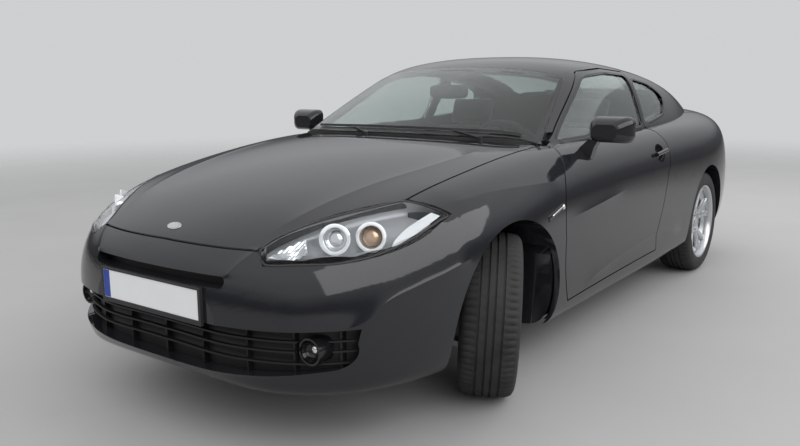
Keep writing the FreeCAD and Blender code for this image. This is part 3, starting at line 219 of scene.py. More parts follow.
def carPaint():
    f = Finish("glossBlackPaint")
    dust = f.noise(1.6, 5, 0.6)
    flake = f.noise(900, 1)
    sparkle = f.ramp(flake, (0.45, (0, 0, 0)), (0.75, (1, 1, 1)))
    colour = f.mix(sparkle, (0.011, 0.0115, 0.0135), (0.021, 0.022, 0.026))
    spot = f.node("TexCoord", out=3)
    x, y, z = (f.node("SeparateXYZ", out=axis, Vector=spot) for axis in range(3))
    half = y.maths("ABSOLUTE", y)
    flank = f.between(half, 0.6, 0.68)
    height = f.crease(x, z, *pressed["wing"]) * flank
    height += f.crease(x, z, *pressed["door"]) * flank
    height += f.crease(x, z, *pressed["scallop"]) * flank
    height += f.crease(x, z, *pressed["wedge"]) * f.between(half, 0.5, 0.6)
    height += f.crease(x, half, *pressed["bonnet"]) * f.between(z, 0.6, 0.68)
    height += f.crease(z, half, *pressed["beak"]) * f.between(x, 2.0, 2.04)
    height += f.crease(half, z, *pressed["lip"]) * f.between(x, 1.85, 1.9)
    height += f.noise(260, 2) * 0.000006
    return f.surface(Base_Color=colour, Roughness=0.03 + dust * 0.05, IOR=1.52,
                     Normal=f.bump(height, 1.0, 1.0))


def plastic(name, dark, light, rough, grain=700, depth=0.0003, strength=0.25):
    f = Finish(name)
    cloud = f.noise(14, 4)
    colour = f.mix(cloud, dark, light)
    return f.surface(Base_Color=colour, Roughness=rough + f.noise(60, 2) * 0.1,
                     Normal=f.bump(f.noise(grain, 2), strength, depth))


def metal(name, dark, light, rough, metallic=1.0, grain=240, strength=0.06):
    f = Finish(name)
    colour = f.mix(f.noise(18, 4), dark, light)
    return f.surface(Base_Color=colour, Metallic=metallic, Roughness=rough + f.noise(40, 3) * 0.12,
                     Normal=f.bump(f.noise(grain, 3), strength, 0.0004))


def clearGlass(name, tint, bend=1.45):
    f = Finish(name)
    colour = f.mix(f.noise(5, 3), tint, tuple(0.97 * v for v in tint))
    return f.surface(Base_Color=colour, Roughness=0.0, IOR=bend, Transmission_Weight=1.0)


def tyreRubber():
    f = Finish("tyreRubber")
    dust = f.noise(9, 5, 0.65)
    patches = f.ramp(dust, (0.35, (0, 0, 0)), (0.75, (1, 1, 1)))
    colour = f.mix(patches, (0.011, 0.011, 0.0115), (0.033, 0.032, 0.031))
    return f.surface(Base_Color=colour, Roughness=0.62 + dust * 0.25,
                     Normal=f.bump(f.noise(420, 3), 0.25, 0.0006))


def cloth(name, dark, light):
    f = Finish(name)
    warp = f.node("TexWave", {"bands_direction": "X"}, out=1, Vector=f.place(), Scale=420, Distortion=0.6)
    weft = f.node("TexWave", {"bands_direction": "Z"}, out=1, Vector=f.place(), Scale=420, Distortion=0.6)
    weave = warp * 0.5 + weft * 0.5
    return f.surface(Base_Color=f.mix(weave, dark, light), Roughness=0.92, Sheen_Weight=0.25,
                     Normal=f.bump(weave, 0.12, 0.0004))


def leather(name, dark, light):
    f = Finish(name)
    cell = f.node("TexVoronoi", Vector=f.place(), Scale=230)
    return f.surface(Base_Color=f.mix(f.noise(12, 4), dark, light), Roughness=0.42 + f.noise(30, 3) * 0.15,
                     Normal=f.bump(cell, 0.18, 0.0006))


def glow(name, colour, strength):
    f = Finish(name)
    shade = f.mix(f.noise(60, 2), colour, tuple(0.92 * v for v in colour))
    return f.surface(Base_Color=shade, Roughness=0.35, Emission_Color=colour, Emission_Strength=strength)


looks = {
    "paint": carPaint(),
    "blackPlastic": plastic("grainedBlackPlastic", (0.012, 0.012, 0.013), (0.028, 0.028, 0.03), 0.42),
    "glossPlastic": plastic("pianoBlackPlastic", (0.006, 0.006, 0.007), (0.012, 0.012, 0.013),
                            0.1, 300, 0.0001, 0.05),
    "cabinTrim": plastic("cabinTrim", (0.022, 0.023, 0.025), (0.04, 0.041, 0.044), 0.55, 900, 0.0004, 0.35),
    "windowGlass": clearGlass("tintedWindowGlass", (0.62, 0.7, 0.68)),
    "lampGlass": clearGlass("clearLampCover", (0.97, 0.98, 0.985), 1.2),
    "chrome": metal("lampChrome", (0.78, 0.79, 0.81), (0.9, 0.9, 0.92), 0.06),
    "satinSilver": metal("satinSilverBezel", (0.42, 0.43, 0.45), (0.55, 0.56, 0.58), 0.28, 0.75),
    "alloy": metal("silverAlloyPaint", (0.5, 0.51, 0.53), (0.6, 0.61, 0.63), 0.24, 0.85),
    "steel": metal("brakeSteel", (0.3, 0.3, 0.31), (0.42, 0.42, 0.43), 0.34),
    "cast": metal("castIron", (0.1, 0.1, 0.105), (0.17, 0.16, 0.15), 0.6, 0.7, 120, 0.3),
    "underbody": plastic("underbodySeal", (0.02, 0.02, 0.021), (0.045, 0.043, 0.04),
                         0.75, 140, 0.0012, 0.5),
    "tailRed": plastic("redLampPlastic", (0.12, 0.002, 0.002), (0.19, 0.005, 0.004),
                       0.06, 400, 0.0001, 0.05),
    "whiteRing": glow("whiteRingLight", (0.76, 0.78, 0.8), 0.2),
    "amber": metal("warmReflector", (0.62, 0.4, 0.27), (0.8, 0.6, 0.45), 0.12, 0.7),
    "bezelGrey": metal("greyLampBezel", (0.42, 0.43, 0.45), (0.56, 0.57, 0.59), 0.36, 0.35),
    "grille": plastic("grillePlastic", (0.002, 0.002, 0.0021), (0.005, 0.005, 0.0052),
                      0.5, 600, 0.0002, 0.15),
    "plateWhite": plastic("plateWhite", (0.78, 0.79, 0.79), (0.84, 0.84, 0.84), 0.3, 500, 0.0001, 0.06),
    "plateBlue": plastic("plateBlue", (0.01, 0.04, 0.3), (0.015, 0.06, 0.36), 0.3, 500, 0.0001, 0.06),
    "tyre": tyreRubber(),
    "cloth": cloth("seatCloth", (0.014, 0.014, 0.016), (0.05, 0.05, 0.054)),
    "leather": leather("steeringLeather", (0.014, 0.014, 0.014), (0.028, 0.028, 0.028)),
    "mirror": metal("mirrorSilver", (0.8, 0.82, 0.84), (0.84, 0.85, 0.87), 0.02),
}
print("materials made:", len(looks))

nodeLooks = {
    "paint": ["side_left", "side_right", "roof", "wing_left", "wing_right", "front_bumper", "rear_bumper",
              "door_left", "door_right", "bonnet", "tailgate", "mirror_left", "mirror_right"],
    "windowGlass": ["windscreen", "quarter_windows", "tailgate_glass", "door_glass_left",
                    "door_glass_right"],
    "lampGlass": ["headlamp_lenses"],
    "satinSilver": ["headlamps"],
    "glossPlastic": ["fog_lamps"],
    "tailRed": ["tail_lamps"],
    "grille": ["grille"],
    "blackPlastic": ["wipers"],
    "cabinTrim": ["dashboard", "console"],
    "cloth": ["front_seats", "rear_seat"],
    "underbody": ["floor_pan", "bulkhead", "front_frame"],
    "steel": ["exhaust", "front_suspension", "rear_suspension"],
    "cast": ["engine", "knuckle_left", "knuckle_right"],
    "plateWhite": ["front_plate", "rear_plate"],
    "leather": ["steering_wheel"],
    "alloy": ["rim_front_left", "rim_front_right", "rim_rear_left", "rim_rear_right"],
    "tyre": ["tyre_front_left", "tyre_front_right", "tyre_rear_left", "tyre_rear_right"],
}
for look, names in nodeLooks.items():
    for name in names:
        nodes[name].data.materials.clear()
        nodes[name].data.materials.append(looks[look])
print("frame nodes dressed")


# Meshes: every new piece is made in the frame's own place and rides on a body.
def addPiece(name, points, faces, look, body, slot=None, smooth=True, bevel=None, rounds=0):
    mesh = bpy.data.meshes.new(name)
    mesh.from_pydata([tuple(point) for point in points], [], faces)
    mesh.validate()
    mesh.materials.append(looks[look])
    for face in mesh.polygons:
        face.use_smooth = smooth
    piece = bpy.data.objects.new(name, mesh)
    bpy.context.scene.collection.objects.link(piece)
    if bevel:
        edge = piece.modifiers.new("edges", "BEVEL")
        edge.width = bevel
        edge.segments = 2
        edge.limit_method = "ANGLE"
        edge.harden_normals = smooth
    if rounds:
        soft = piece.modifiers.new("rounds", "SUBSURF")
        soft.levels = rounds
        soft.render_levels = rounds
    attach(piece, body)
    return piece


class Shape:
    # Points and faces gathered from several simple forms, for one piece.
    def __init__(self):
        self.points = []
        self.faces = []

    def add(self, points, faces):
        start = len(self.points)
        self.points += [Vector(point) for point in points]
        self.faces += [tuple(index + start for index in face) for face in faces]
        return self

    def grid(self, rows, closeRows=False, closeRings=True, capEnds=False):
        # rows of equal length, joined by quads
        count = len(rows[0])
        points = [point for row in rows for point in row]
        faces = []
        lastRow = len(rows) if closeRows else len(rows) - 1
        lastPoint = count if closeRings else count - 1
        for row in range(lastRow):
            after = (row + 1) % len(rows)
            for place in range(lastPoint):
                beside = (place + 1) % count
                faces.append((row * count + place, row * count + beside,
                              after * count + beside, after * count + place))
        if capEnds:
            faces.append(tuple(reversed(range(count))))
            faces.append(tuple(range((len(rows) - 1) * count, len(rows) * count)))
        return self.add(points, faces)

    def revolve(self, profile, steps, place=Matrix.Identity(4), closed=False):
        # profile of (along Y, radius) turned about Y
        rows = []
        for step in range(steps):
            angle = 2 * math.pi * step / steps
            rows.append([place @ Vector((r * math.sin(angle), y, r * math.cos(angle))) for y, r in profile])
        return self.grid(rows, closeRows=True, closeRings=closed)

    def box(self, low, high, place=Matrix.Identity(4)):
        corners = [place @ Vector((x, y, z)) for x in (low[0], high[0]) for y in (low[1], high[1])
                   for z in (low[2], high[2])]
        faces = [(0, 1, 3, 2), (4, 6, 7, 5), (0, 4, 5, 1), (2, 3, 7, 6), (0, 2, 6, 4), (1, 5, 7, 3)]
        return self.add(corners, faces)

    def sweep(self, path, normals, profile, closed=False):
        # profile of (across, out) carried along a path with its own outward normals
        rows = []
        for index, point in enumerate(path):
            before = path[index - 1] if index or closed else path[index]
            after = path[(index + 1) % len(path)] if index + 1 < len(path) or closed else path[index]
            along = (after - before).normalized()
            out = (normals[index] - along * normals[index].dot(along)).normalized()
            across = along.cross(out)
            rows.append([point + across * a + out * b for a, b in profile])
        return self.grid(rows, closeRows=closed, capEnds=not closed)

    def piece(self, name, look, body, **options):
        return addPiece(name, self.points, self.faces, look, body, **options)


sides = ((1, "left"), (-1, "right"))


def circle(radius, steps):
    return [(radius * math.cos(2 * math.pi * k / steps), radius * math.sin(2 * math.pi * k / steps))
            for k in range(steps)]


def squircle(steps):
    # A rounded square of half width 1.
    def bulged(value):
        return math.copysign(abs(value) ** 0.45, value)
    return [(bulged(a), bulged(b)) for a, b in circle(1, steps)]


def smoothPath(points, steps, closed=False):
    # Catmull-Rom curve through the points
    count = len(points)
    path = []
    spans = count if closed else count - 1
    for span in range(spans):
        a = points[(span - 1) % count] if closed or span else points[0]
        b = points[span]
        c = points[(span + 1) % count]
        d = points[(span + 2) % count] if closed or span + 2 < count else points[-1]
        for step in range(steps):
            t = step / steps
            path.append(0.5 * ((2 * b) + (c - a) * t + (2 * a - 5 * b + 4 * c - d) * t ** 2
                               + (3 * b - a - 3 * c + d) * t ** 3))
    if not closed:
        path.append(points[-1])
    return path


def evened(items, closed, rounds=3):
    # Each item is drawn towards its neighbours, and open ends stay.
    for step in range(rounds):
        before = items[-1:] + items[:-1]
        after = items[1:] + items[:1]
        drawn = [(a + b * 2 + c) / 4 for a, b, c in zip(before, items, after)]
        items = drawn if closed else items[:1] + drawn[1:-1] + items[-1:]
    return items


def treeOf(*names):
    points, faces = [], []
    for name in names:
        start = len(points)
        points += [vertex.co.copy() for vertex in nodes[name].data.vertices]
        faces += [[index + start for index in face.vertices] for face in nodes[name].data.polygons]
    return BVHTree.FromPolygons(points, faces)


bodySkin = treeOf("side_left", "side_right", "roof", "wing_left", "wing_right", "front_bumper",
                  "rear_bumper", "door_left", "door_right", "bonnet", "tailgate", "windscreen",
                  "quarter_windows", "tailgate_glass", "door_glass_left", "door_glass_right",
                  "headlamp_lenses", "tail_lamps")


def onSkin(start, aim):
    # Where a line from outside meets the body, with its outward normal.
    place, normal, face, distance = bodySkin.ray_cast(Vector(start), Vector(aim))
    if place is None:
        place, normal, face, distance = bodySkin.find_nearest(Vector(start) + Vector(aim) * 0.8)
    return place, normal if normal.dot(Vector(aim)) < 0 else -normal


def onSide(x, z, hand):
    return onSkin((x, hand * 1.5, z), (0, -hand, 0))


# Wheels: the hub places and outward axes come from the joints, and each wheel's name is its body's.
wheel = {"tyreRadius": 0.3125, "tyreHalf": 0.1075, "bead": 0.217, "lip": 0.228, "barrel": 0.2165,
         "turns": 288, "sipeDepth": 0.0055, "grooveDepth": 0.007, "treadDepth": 0.0125,
         "shoulder": 0.049, "shoulderEvery": 4, "rib": (0.0175, 0.0375), "ribEvery": 6,
         "pairs": 5, "spokeLean": (7, 13.5), "spokeFrom": 0.056, "spokeTo": 0.2105,
         "nuts": 5, "nutRing": 0.053, "tyreEdge": 42, "rimEdge": 38}


def wheelPlaces():
    places = {}
    for joint in frame["joints"]:
        if joint["child"].startswith("wheel_"):
            hand = 1 if joint["child"].endswith("left") else -1
            out = Vector(joint["axis"]).normalized() * hand
            up = (Vector((0, 0, 1)) - out * out.z).normalized()
            ahead = out.cross(up)
            turn = Matrix((ahead, out, up)).transposed().to_4x4()
            places[joint["child"]] = Matrix.Translation(joint["pos_m"]) @ turn
    return places


def tyreHalves():
    # Half of the tyre's section as (off centre, radius): the crown with its grooves, and the side wall.
    r, half, groove, bead = wheel["tyreRadius"], wheel["tyreHalf"], wheel["grooveDepth"], wheel["bead"]
    crown = [(0.0, 0.0), (0.009, 0.0), (0.0095, -groove), (0.0165, -groove), (0.017, 0.0), (0.026, 0.0),
             (0.038, -0.0004), (0.0385, -groove), (0.0465, -groove), (0.047, -0.0008), (0.058, -0.0015),
             (0.072, -0.0032), (0.084, -0.0065), (0.092, -0.0105)]
    outer = [(y, r + d) for y, d in crown]
    wall = [(0.0985, r - 0.018), (0.1035, r - 0.028), (0.1062, r - 0.04), (0.1056, r - 0.046),
            (half, r - 0.05), (0.1066, r - 0.062), (0.1045, r - 0.072), (0.1005, bead + 0.015),
            (0.094, bead + 0.009), (0.0875, bead + 0.002)]
    return outer, wall


def sipe(y, r, step):
    # How deep the rubber is cut at this place of the tread, at one step round the tyre.
    if r <= wheel["tyreRadius"] - wheel["treadDepth"]:
        return 0.0
    low, high = wheel["rib"]
    if abs(y) > wheel["shoulder"] and step % wheel["shoulderEvery"] == 0:
        return wheel["sipeDepth"] * min(1.0, (abs(y) - wheel["shoulder"] + 0.002) / 0.01)
    if low < abs(y) < high and step % wheel["ribEvery"] == 3:
        return wheel["sipeDepth"] * 0.5
    return 0.0


def makeTyre(name, place):
    crown, wall = tyreHalves()
    half = crown + wall
    beads = [(0.0875, wheel["bead"]), (-0.0875, wheel["bead"])]
    profile = [(-y, r) for y, r in reversed(half)] + half[1:] + beads
    rows = []
    for step in range(wheel["turns"]):
        angle = 2 * math.pi * step / wheel["turns"]
        row = []
        for y, r in profile:
            reach = r - sipe(y, r, step)
            row.append(place @ Vector((reach * math.sin(angle), y, reach * math.cos(angle))))
        rows.append(row)
    shape = Shape().grid(rows, closeRows=True, closeRings=True)
    tyre = shape.piece(name + "_tread", "tyre", name, slot="tyre")
    bands = tyre.modifiers.new("edges", "EDGE_SPLIT")
    bands.split_angle = math.radians(wheel["tyreEdge"])
    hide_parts("tyre_" + name[6:])


def spokeFront(r):
    # Height of the spoke face over the wheel's middle plane.
    if r < 0.072:
        return 0.058
    return 0.0575 + 0.018 * ((r - 0.072) / 0.137) ** 1.6


def spokeArm(shape, place, angle, hand):
    # One arm of a pair, leaning away from the pair's middle line as it runs out to the barrel.
    stations = 9
    lean = [math.radians(hand * degrees) for degrees in wheel["spokeLean"]]
    rows = []
    for step in range(stations):
        t = step / (stations - 1)
        r = wheel["spokeFrom"] + (wheel["spokeTo"] - wheel["spokeFrom"]) * t
        turn = angle + lean[0] + (lean[1] - lean[0]) * t ** 0.8
        wide = 0.0165 - 0.0045 * math.sin(math.pi * min(1, t * 1.1)) + 0.006 * max(0, t - 0.8) / 0.2
        deep = 0.03 - 0.006 * t
        top = spokeFront(r)
        side = Vector((math.cos(turn), 0, -math.sin(turn)))
        out = Vector((math.sin(turn), 0, math.cos(turn)))
        ring = [(-wide, -deep), (-wide, -0.004), (-wide * 0.86, -0.0005), (-wide * 0.5, 0.0012),
                (0, 0.0004), (wide * 0.5, 0.0012), (wide * 0.86, -0.0005), (wide, -0.004),
                (wide, -deep), (0, -deep - 0.002)]
        rows.append([place @ (out * r + side * a + Vector((0, top + b, 0))) for a, b in ring])
    shape.grid(rows, capEnds=True)


def makeRim(name, place):
    lip, barrel = wheel["lip"], wheel["barrel"]
    ring = [(0.1, lip - 0.001), (0.0985, lip), (0.0905, lip), (0.089, lip - 0.0015), (0.088, barrel),
            (0.062, barrel), (0.042, barrel - 0.024), (-0.042, barrel - 0.024), (-0.062, barrel),
            (-0.088, barrel), (-0.089, lip - 0.0015), (-0.0905, lip), (-0.0985, lip),
            (-0.1, lip - 0.001), (-0.1, lip - 0.007), (-0.088, barrel - 0.008),
            (-0.06, barrel - 0.009), (-0.04, barrel - 0.032), (0.04, barrel - 0.032),
            (0.058, barrel - 0.01), (0.078, barrel - 0.0095), (0.086, barrel - 0.0045),
            (0.0935, barrel - 0.001), (0.0965, lip - 0.0085), (0.099, lip - 0.006)]
    shape = Shape().revolve(ring, 128, place, closed=True)
    hub = [(0.028, 0.028), (0.028, 0.07), (0.05, 0.073), (0.0565, 0.07), (0.0585, 0.066), (0.0585, 0.038),
           (0.06, 0.034), (0.0635, 0.033), (0.065, 0.0295), (0.0652, 0.0), (0.03, 0.0)]
    shape.revolve(hub, 72, place)
    pairs = wheel["pairs"]
    for pair in range(pairs):
        angle = 2 * math.pi * pair / pairs
        for hand in (-1, 1):
            spokeArm(shape, place, angle, hand)
    rim = shape.piece(name + "_alloy", "alloy", name, slot="alloy")
    flat = rim.modifiers.new("edges", "EDGE_SPLIT")
    flat.split_angle = math.radians(wheel["rimEdge"])
    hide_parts("rim_" + name[6:])
    nut = [(0.057, 0.0001), (0.0632, 0.0001), (0.0632, 0.006), (0.062, 0.0085), (0.055, 0.0085)]
    nuts = Shape()
    for index in range(wheel["nuts"]):
        angle = 2 * math.pi * (index + 0.5) / wheel["nuts"]
        off = Vector((math.sin(angle), 0.0, math.cos(angle))) * wheel["nutRing"]
        spot = place @ Matrix.Translation(off)
        nuts.revolve(nut, 12, spot)
    nuts.piece(name + "_nuts", "steel", name, slot="alloy")
    disc = [(-0.015, 0.03), (-0.015, 0.138), (-0.017, 0.14), (-0.0215, 0.14), (-0.0215, 0.128),
            (-0.0325, 0.128), (-0.0325, 0.14), (-0.037, 0.14), (-0.039, 0.138), (-0.039, 0.03)]
    rotor = Shape().revolve(disc, 96, place, closed=True)
    rotor.revolve([(0.03, 0.028), (0.03, 0.07), (-0.015, 0.075), (-0.016, 0.03)], 64, place)
    rotor.piece(name + "_rotor", "steel", name, slot="steel")


for name, place in wheelPlaces().items():
    makeTyre(name, place)
    makeRim(name, place)
print("wheels made")


# Headlamps: clear covers over a grey bezel, two ringed projectors, an inner reflector and a light strip.
lampParts = {"axis": (0.84, 0.5, 0.19),
             "units": [((1.925, 0.578, 0.704), 0.047), ((1.846, 0.66, 0.708), 0.046)],
             "cover": 0.004, "depth": 0.055, "centre": (1.86, 0.64, 0.72),
             "stripTop": [(1.823, 0.728, 0.688), (1.797, 0.725, 0.708), (1.746, 0.727, 0.733),
                          (1.684, 0.735, 0.754), (1.624, 0.741, 0.771)],
             "stripFoot": [(1.823, 0.73, 0.686), (1.8, 0.738, 0.691), (1.739, 0.753, 0.712),
                           (1.667, 0.762, 0.738), (1.606, 0.765, 0.759)],
             "facetTop": [(2.085, 0.432, 0.669), (2.038, 0.463, 0.696), (1.978, 0.499, 0.722)],
             "facetFoot": [(2.083, 0.445, 0.664), (2.055, 0.51, 0.665), (2.015, 0.54, 0.683)],
             "seal": [(2.088, 0.396, 0.676), (2.112, 0.43, 0.642), (2.098, 0.47, 0.634),
                      (2.055, 0.551, 0.641), (1.991, 0.634, 0.642), (1.905, 0.701, 0.655),
                      (1.824, 0.738, 0.675), (1.721, 0.766, 0.71), (1.623, 0.778, 0.744),
                      (1.568, 0.78, 0.757), (1.601, 0.718, 0.791), (1.652, 0.652, 0.802),
                      (1.731, 0.607, 0.791), (1.847, 0.533, 0.77), (1.96, 0.463, 0.738),
                      (2.042, 0.414, 0.704)]}
lampOuter = [(2.105, 0.43), (2.045, 0.545), (1.937, 0.665), (1.84, 0.722), (1.69, 0.768), (1.59, 0.772)]
lampInner = [(2.082, 0.405), (2.028, 0.43), (1.957, 0.473), (1.842, 0.541), (1.66, 0.652), (1.585, 0.766)]
lampSkin = treeOf("headlamp_lenses")
lampOut = Vector((0.62, 0.42, 0.66)).normalized()


def along(points, t):
    # A place on a run of plan points, t from 0 to 1 by length.
    lengths = [0.0]
    for a, b in zip(points, points[1:]):
        lengths.append(lengths[-1] + math.dist(a, b))
    reach = t * lengths[-1]
    for k in range(len(points) - 1):
        if reach <= lengths[k + 1] or k == len(points) - 2:
            part = (reach - lengths[k]) / max(1e-9, lengths[k + 1] - lengths[k])
            return [a + (b - a) * part for a, b in zip(points[k], points[k + 1])]


def lampPoint(u, v, depth):
    # The place at u along the lamp and v across it, set in from the cover by depth.
    outer, inner = along(lampOuter, u), along(lampInner, u)
    x, y = (a + (b - a) * v for a, b in zip(inner, outer))
    top, normal, face, distance = lampSkin.ray_cast(Vector((x, y, 1.2)), Vector((0, 0, -1)))
    if top is None:
        top, normal, face, distance = lampSkin.find_nearest(Vector((x, y, 0.74)))
    return top - lampOut * depth


def lampDrop(point, depth):
    # The point set under the cover, in from its skin by depth.
    place, normal, face, distance = lampSkin.find_nearest(point)
    out = normal if normal.dot(lampOut) > 0 else -normal
    return place - out * (depth + lampParts["cover"])


def facing(axis):
    out = Vector(axis).normalized()
    up = (Vector((0, 0, 1)) - out * out.z).normalized()
    return Matrix((out.cross(up), out, up)).transposed().to_4x4()


def makeBezel(mirror, side):
    # A shallow tray under the cover, and the same tray in black behind it.
    rows = []
    for i in range(41):
        u = i / 40
        row = []
        for k in range(17):
            v = k / 16
            rim = min(v, 1 - v, u * 2.2, (1 - u) * 2.2)
            depth = 0.007 + lampParts["depth"] * min(1.0, rim / 0.2) ** 0.7
            row.append(mirror @ lampPoint(u, v, depth))
        rows.append(row)
    tray = Shape().grid(rows, closeRings=False)
    bezel = tray.piece("headlamp_bezel_" + side, "bezelGrey", "car_body", slot="lamp_chrome")
    behind = mirror @ (lampOut * -0.003)
    housing = Shape().grid([[point + behind for point in row] for row in rows], closeRings=False)
    housing.piece("headlamp_housing_" + side, "blackPlastic", "car_body", slot="black_plastic")
    return bezel


def makeProjector(place, radius, number, side):
    # A shroud with a white ring round its mouth and a domed lens inside.
    shroud, lens = ("chrome", "chrome") if number == 0 else ("satinSilver", "amber")
    tube = Shape().revolve([(-0.05, radius * 0.9), (0.002, radius * 1.08), (0.006, radius * 1.08),
                            (-0.002, radius * 0.82), (-0.014, radius * 0.78), (-0.02, radius * 0.7),
                            (-0.045, radius * 0.66)], 64, place)
    tube.piece("projector_shroud_%d_%s" % (number, side), shroud, "car_body", slot="lamp_chrome")
    section = [(0.0065 + 0.003 * b, radius * (0.93 + 0.13 * a)) for a, b in circle(1, 12)]
    ring = Shape().revolve(section, 64, place, closed=True)
    ring.piece("projector_ring_%d_%s" % (number, side), "whiteRing", "car_body", slot="lamp_glass")
    ball = []
    for k in range(13):
        a = math.pi / 2 * k / 12
        ball.append((-0.03 + radius * 0.72 * math.cos(a) * 0.55, radius * 0.72 * math.sin(a)))
    ball[0] = (ball[0][0], 0.0003)
    dome = Shape().revolve(ball, 48, place)
    dome.piece("projector_lens_%d_%s" % (number, side), lens, "car_body", slot="lamp_glass")


def makeStrip(mirror, side):
    edges = [[Vector(point) for point in lampParts[edge]] for edge in ("stripTop", "stripFoot")]
    upper, lower = (smoothPath(edge, 6) for edge in edges)
    rows = [[mirror @ lampDrop(a.lerp(b, k / 4), 0.008) for k in range(5)] for a, b in zip(upper, lower)]
    strip = Shape().grid(rows, closeRings=False)
    strip.piece("headlamp_strip_" + side, "whiteRing", "car_body", slot="lamp_glass")


def makeFacets(mirror, side):
    # The reflector of the indicator, in small facets that stand at two depths.
    edges = [[Vector(point) for point in lampParts[edge]] for edge in ("facetTop", "facetFoot")]
    upper, lower = (smoothPath(edge, 5) for edge in edges)
    rows = []
    for i, (a, b) in enumerate(zip(upper, lower)):
        rows.append([mirror @ lampDrop(a.lerp(b, k / 8), 0.018 + 0.008 * ((i + k) % 2)) for k in range(9)])
    facets = Shape().grid(rows, closeRings=False)
    facets.piece("indicator_reflector_" + side, "chrome", "car_body", slot="lamp_chrome", smooth=False)


def makeLampSeal(mirror, side):
    # A rubber bead that follows the edge of the cover.
    spots, normals = [], []
    for point in smoothPath([Vector(point) for point in lampParts["seal"]], 6, True):
        inside = point + (Vector(lampParts["centre"]) - point).normalized() * 0.006
        place, normal, face, distance = lampSkin.ray_cast(inside + lampOut * 0.3, -lampOut)
        if place is not None:
            spots.append(place)
            normals.append(normal)
    spots = [mirror @ spot for spot in evened(spots, True)]
    normals = [(mirror @ normal).normalized() for normal in evened(normals, True, 6)]
    profile = [(-0.0035, -0.004), (-0.0035, 0.0016), (0.0, 0.0024), (0.0035, 0.0016), (0.0035, -0.004)]
    bead = Shape().sweep(spots, normals, profile, True)
    bead.piece("headlamp_seal_" + side, "blackPlastic", "car_body", slot="black_plastic")


def makeHeadlamp(hand, side):
    mirror = Matrix.Scale(hand, 4, (0, 1, 0))
    bezel = makeBezel(mirror, side)
    for number, (spot, radius) in enumerate(lampParts["units"]):
        makeProjector(mirror @ Matrix.Translation(spot) @ facing(lampParts["axis"]), radius, number, side)
    makeStrip(mirror, side)
    makeFacets(mirror, side)
    makeLampSeal(mirror, side)
    return bezel


bezels = [makeHeadlamp(hand, side) for hand, side in sides]
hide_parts("headlamps")
print("headlamps made")


# Seals: dark joints that follow the shut lines and the glass.
def skinRun(plan, find, steps, closed):
    spots, normals = [], []
    for point in smoothPath([Vector(item) for item in plan], steps, closed):
        place, normal = find(point)
        spots.append(place)
        normals.append(normal)
    return spots, normals


def strap(name, plan, find, body, look, slot, width, high, steps, closed=False):
    # A flat band with soft edges that lies on the skin along the plan.
    spots, normals = skinRun(plan, find, steps, closed)
    normals = [normal.normalized() for normal in evened(normals, closed, 8)]
    half = width / 2
    profile = [(-half, -0.004), (-half, high * 0.5), (-half * 0.8, high),
               (half * 0.8, high), (half, high * 0.5), (half, -0.004)]
    return Shape().sweep(evened(spots, closed), normals, profile, closed).piece(name, look, body, slot=slot)


windowRun = [(0.592, 0.934), (0.356, 1.06), (0.12, 1.186), (0.06, 1.206), (-0.01, 1.214), (-0.202, 1.226),
             (-0.472, 1.213), (-0.452, 1.09), (-0.431, 0.954), (-0.2, 0.949), (0.2, 0.942)]
quarterRun = [(-0.482, 0.962), (-0.503, 1.08), (-0.524, 1.196), (-0.64, 1.183), (-0.76, 1.168),
              (-0.88, 1.134), (-0.948, 1.1), (-0.948, 1.07), (-0.92, 1.042), (-0.86, 1.0), (-0.67, 0.979)]
beltRun = [(0.585, 0.921), (0.2, 0.93), (-0.15, 0.938), (-0.43, 0.943)]


def corners(run, gap):
    # Keeps the corners of a run by doubling the points beside them.
    out = []
    for k, point in enumerate(run):
        for other in (run[k - 1], run[(k + 1) % len(run)]):
            part = min(0.45, gap / max(1e-6, math.dist(point, other)))
            out.append(Vector([a + (b - a) * part for a, b in zip(point, other)]))
    return out


def outside(run, reach):
    # The same closed run, moved outward by reach.
    middle = sum(run, Vector((0, 0))) / len(run)
    moved = []
    for k, point in enumerate(run):
        ahead = (run[(k + 1) % len(run)] - run[k - 1]).normalized()
        out = Vector((ahead.y, -ahead.x))
        moved.append(point + out * (reach if out.dot(point - middle) > 0 else -reach))
    return moved


def onShell(name, hand):
    tree = treeOf(name)

    def find(point):
        x, z = point
        place, normal, face, distance = tree.ray_cast(Vector((x, hand * 1.5, z)), Vector((0, -hand, 0)))
        if place is None:
            place, normal, face, distance = tree.find_nearest(Vector((x, hand * 0.68, z)))
        return place, normal if normal.y * hand > 0 else -normal
    return find


for hand, side in sides:
    door, flank = "door_" + side, "side_" + side
    windowFrame = outside(corners(windowRun, 0.03), 0.0075)
    quarterFrame = outside(corners(quarterRun, 0.03), 0.007)
    strap("window_frame_" + side, windowFrame, onShell(door, hand), door, "glossPlastic", "black_plastic",
          0.013, 0.0012, 4, True)
    strap("belt_strip_" + side, beltRun, onShell(door, hand), door, "blackPlastic", "black_plastic",
          0.011, 0.002, 8)
    strap("quarter_frame_" + side, quarterFrame, onShell(flank, hand), "car_body", "glossPlastic",
          "black_plastic", 0.014, 0.0012, 4, True)
screenRun = [(0.905, 0.0), (0.888, 0.22), (0.828, 0.44), (0.706, 0.655), (0.45, 0.603), (0.212, 0.54),
             (0.246, 0.3), (0.26, 0.0), (0.246, -0.3), (0.212, -0.54), (0.45, -0.603), (0.706, -0.655),
             (0.828, -0.44), (0.888, -0.22)]
screenTree = treeOf("windscreen")


def onScreen(point):
    x, y = point
    place, normal, face, distance = screenTree.ray_cast(Vector((x, y, 2.0)), Vector((0, 0, -1)))
    if place is None:
        place, normal, face, distance = screenTree.find_nearest(Vector((x, y, 1.1)))
    return place, normal if normal.z > 0 else -normal


strap("windscreen_seal", corners(screenRun, 0.02), onScreen, "car_body", "blackPlastic", "black_plastic",
      0.02, 0.0012, 4, True)
print("seals made")


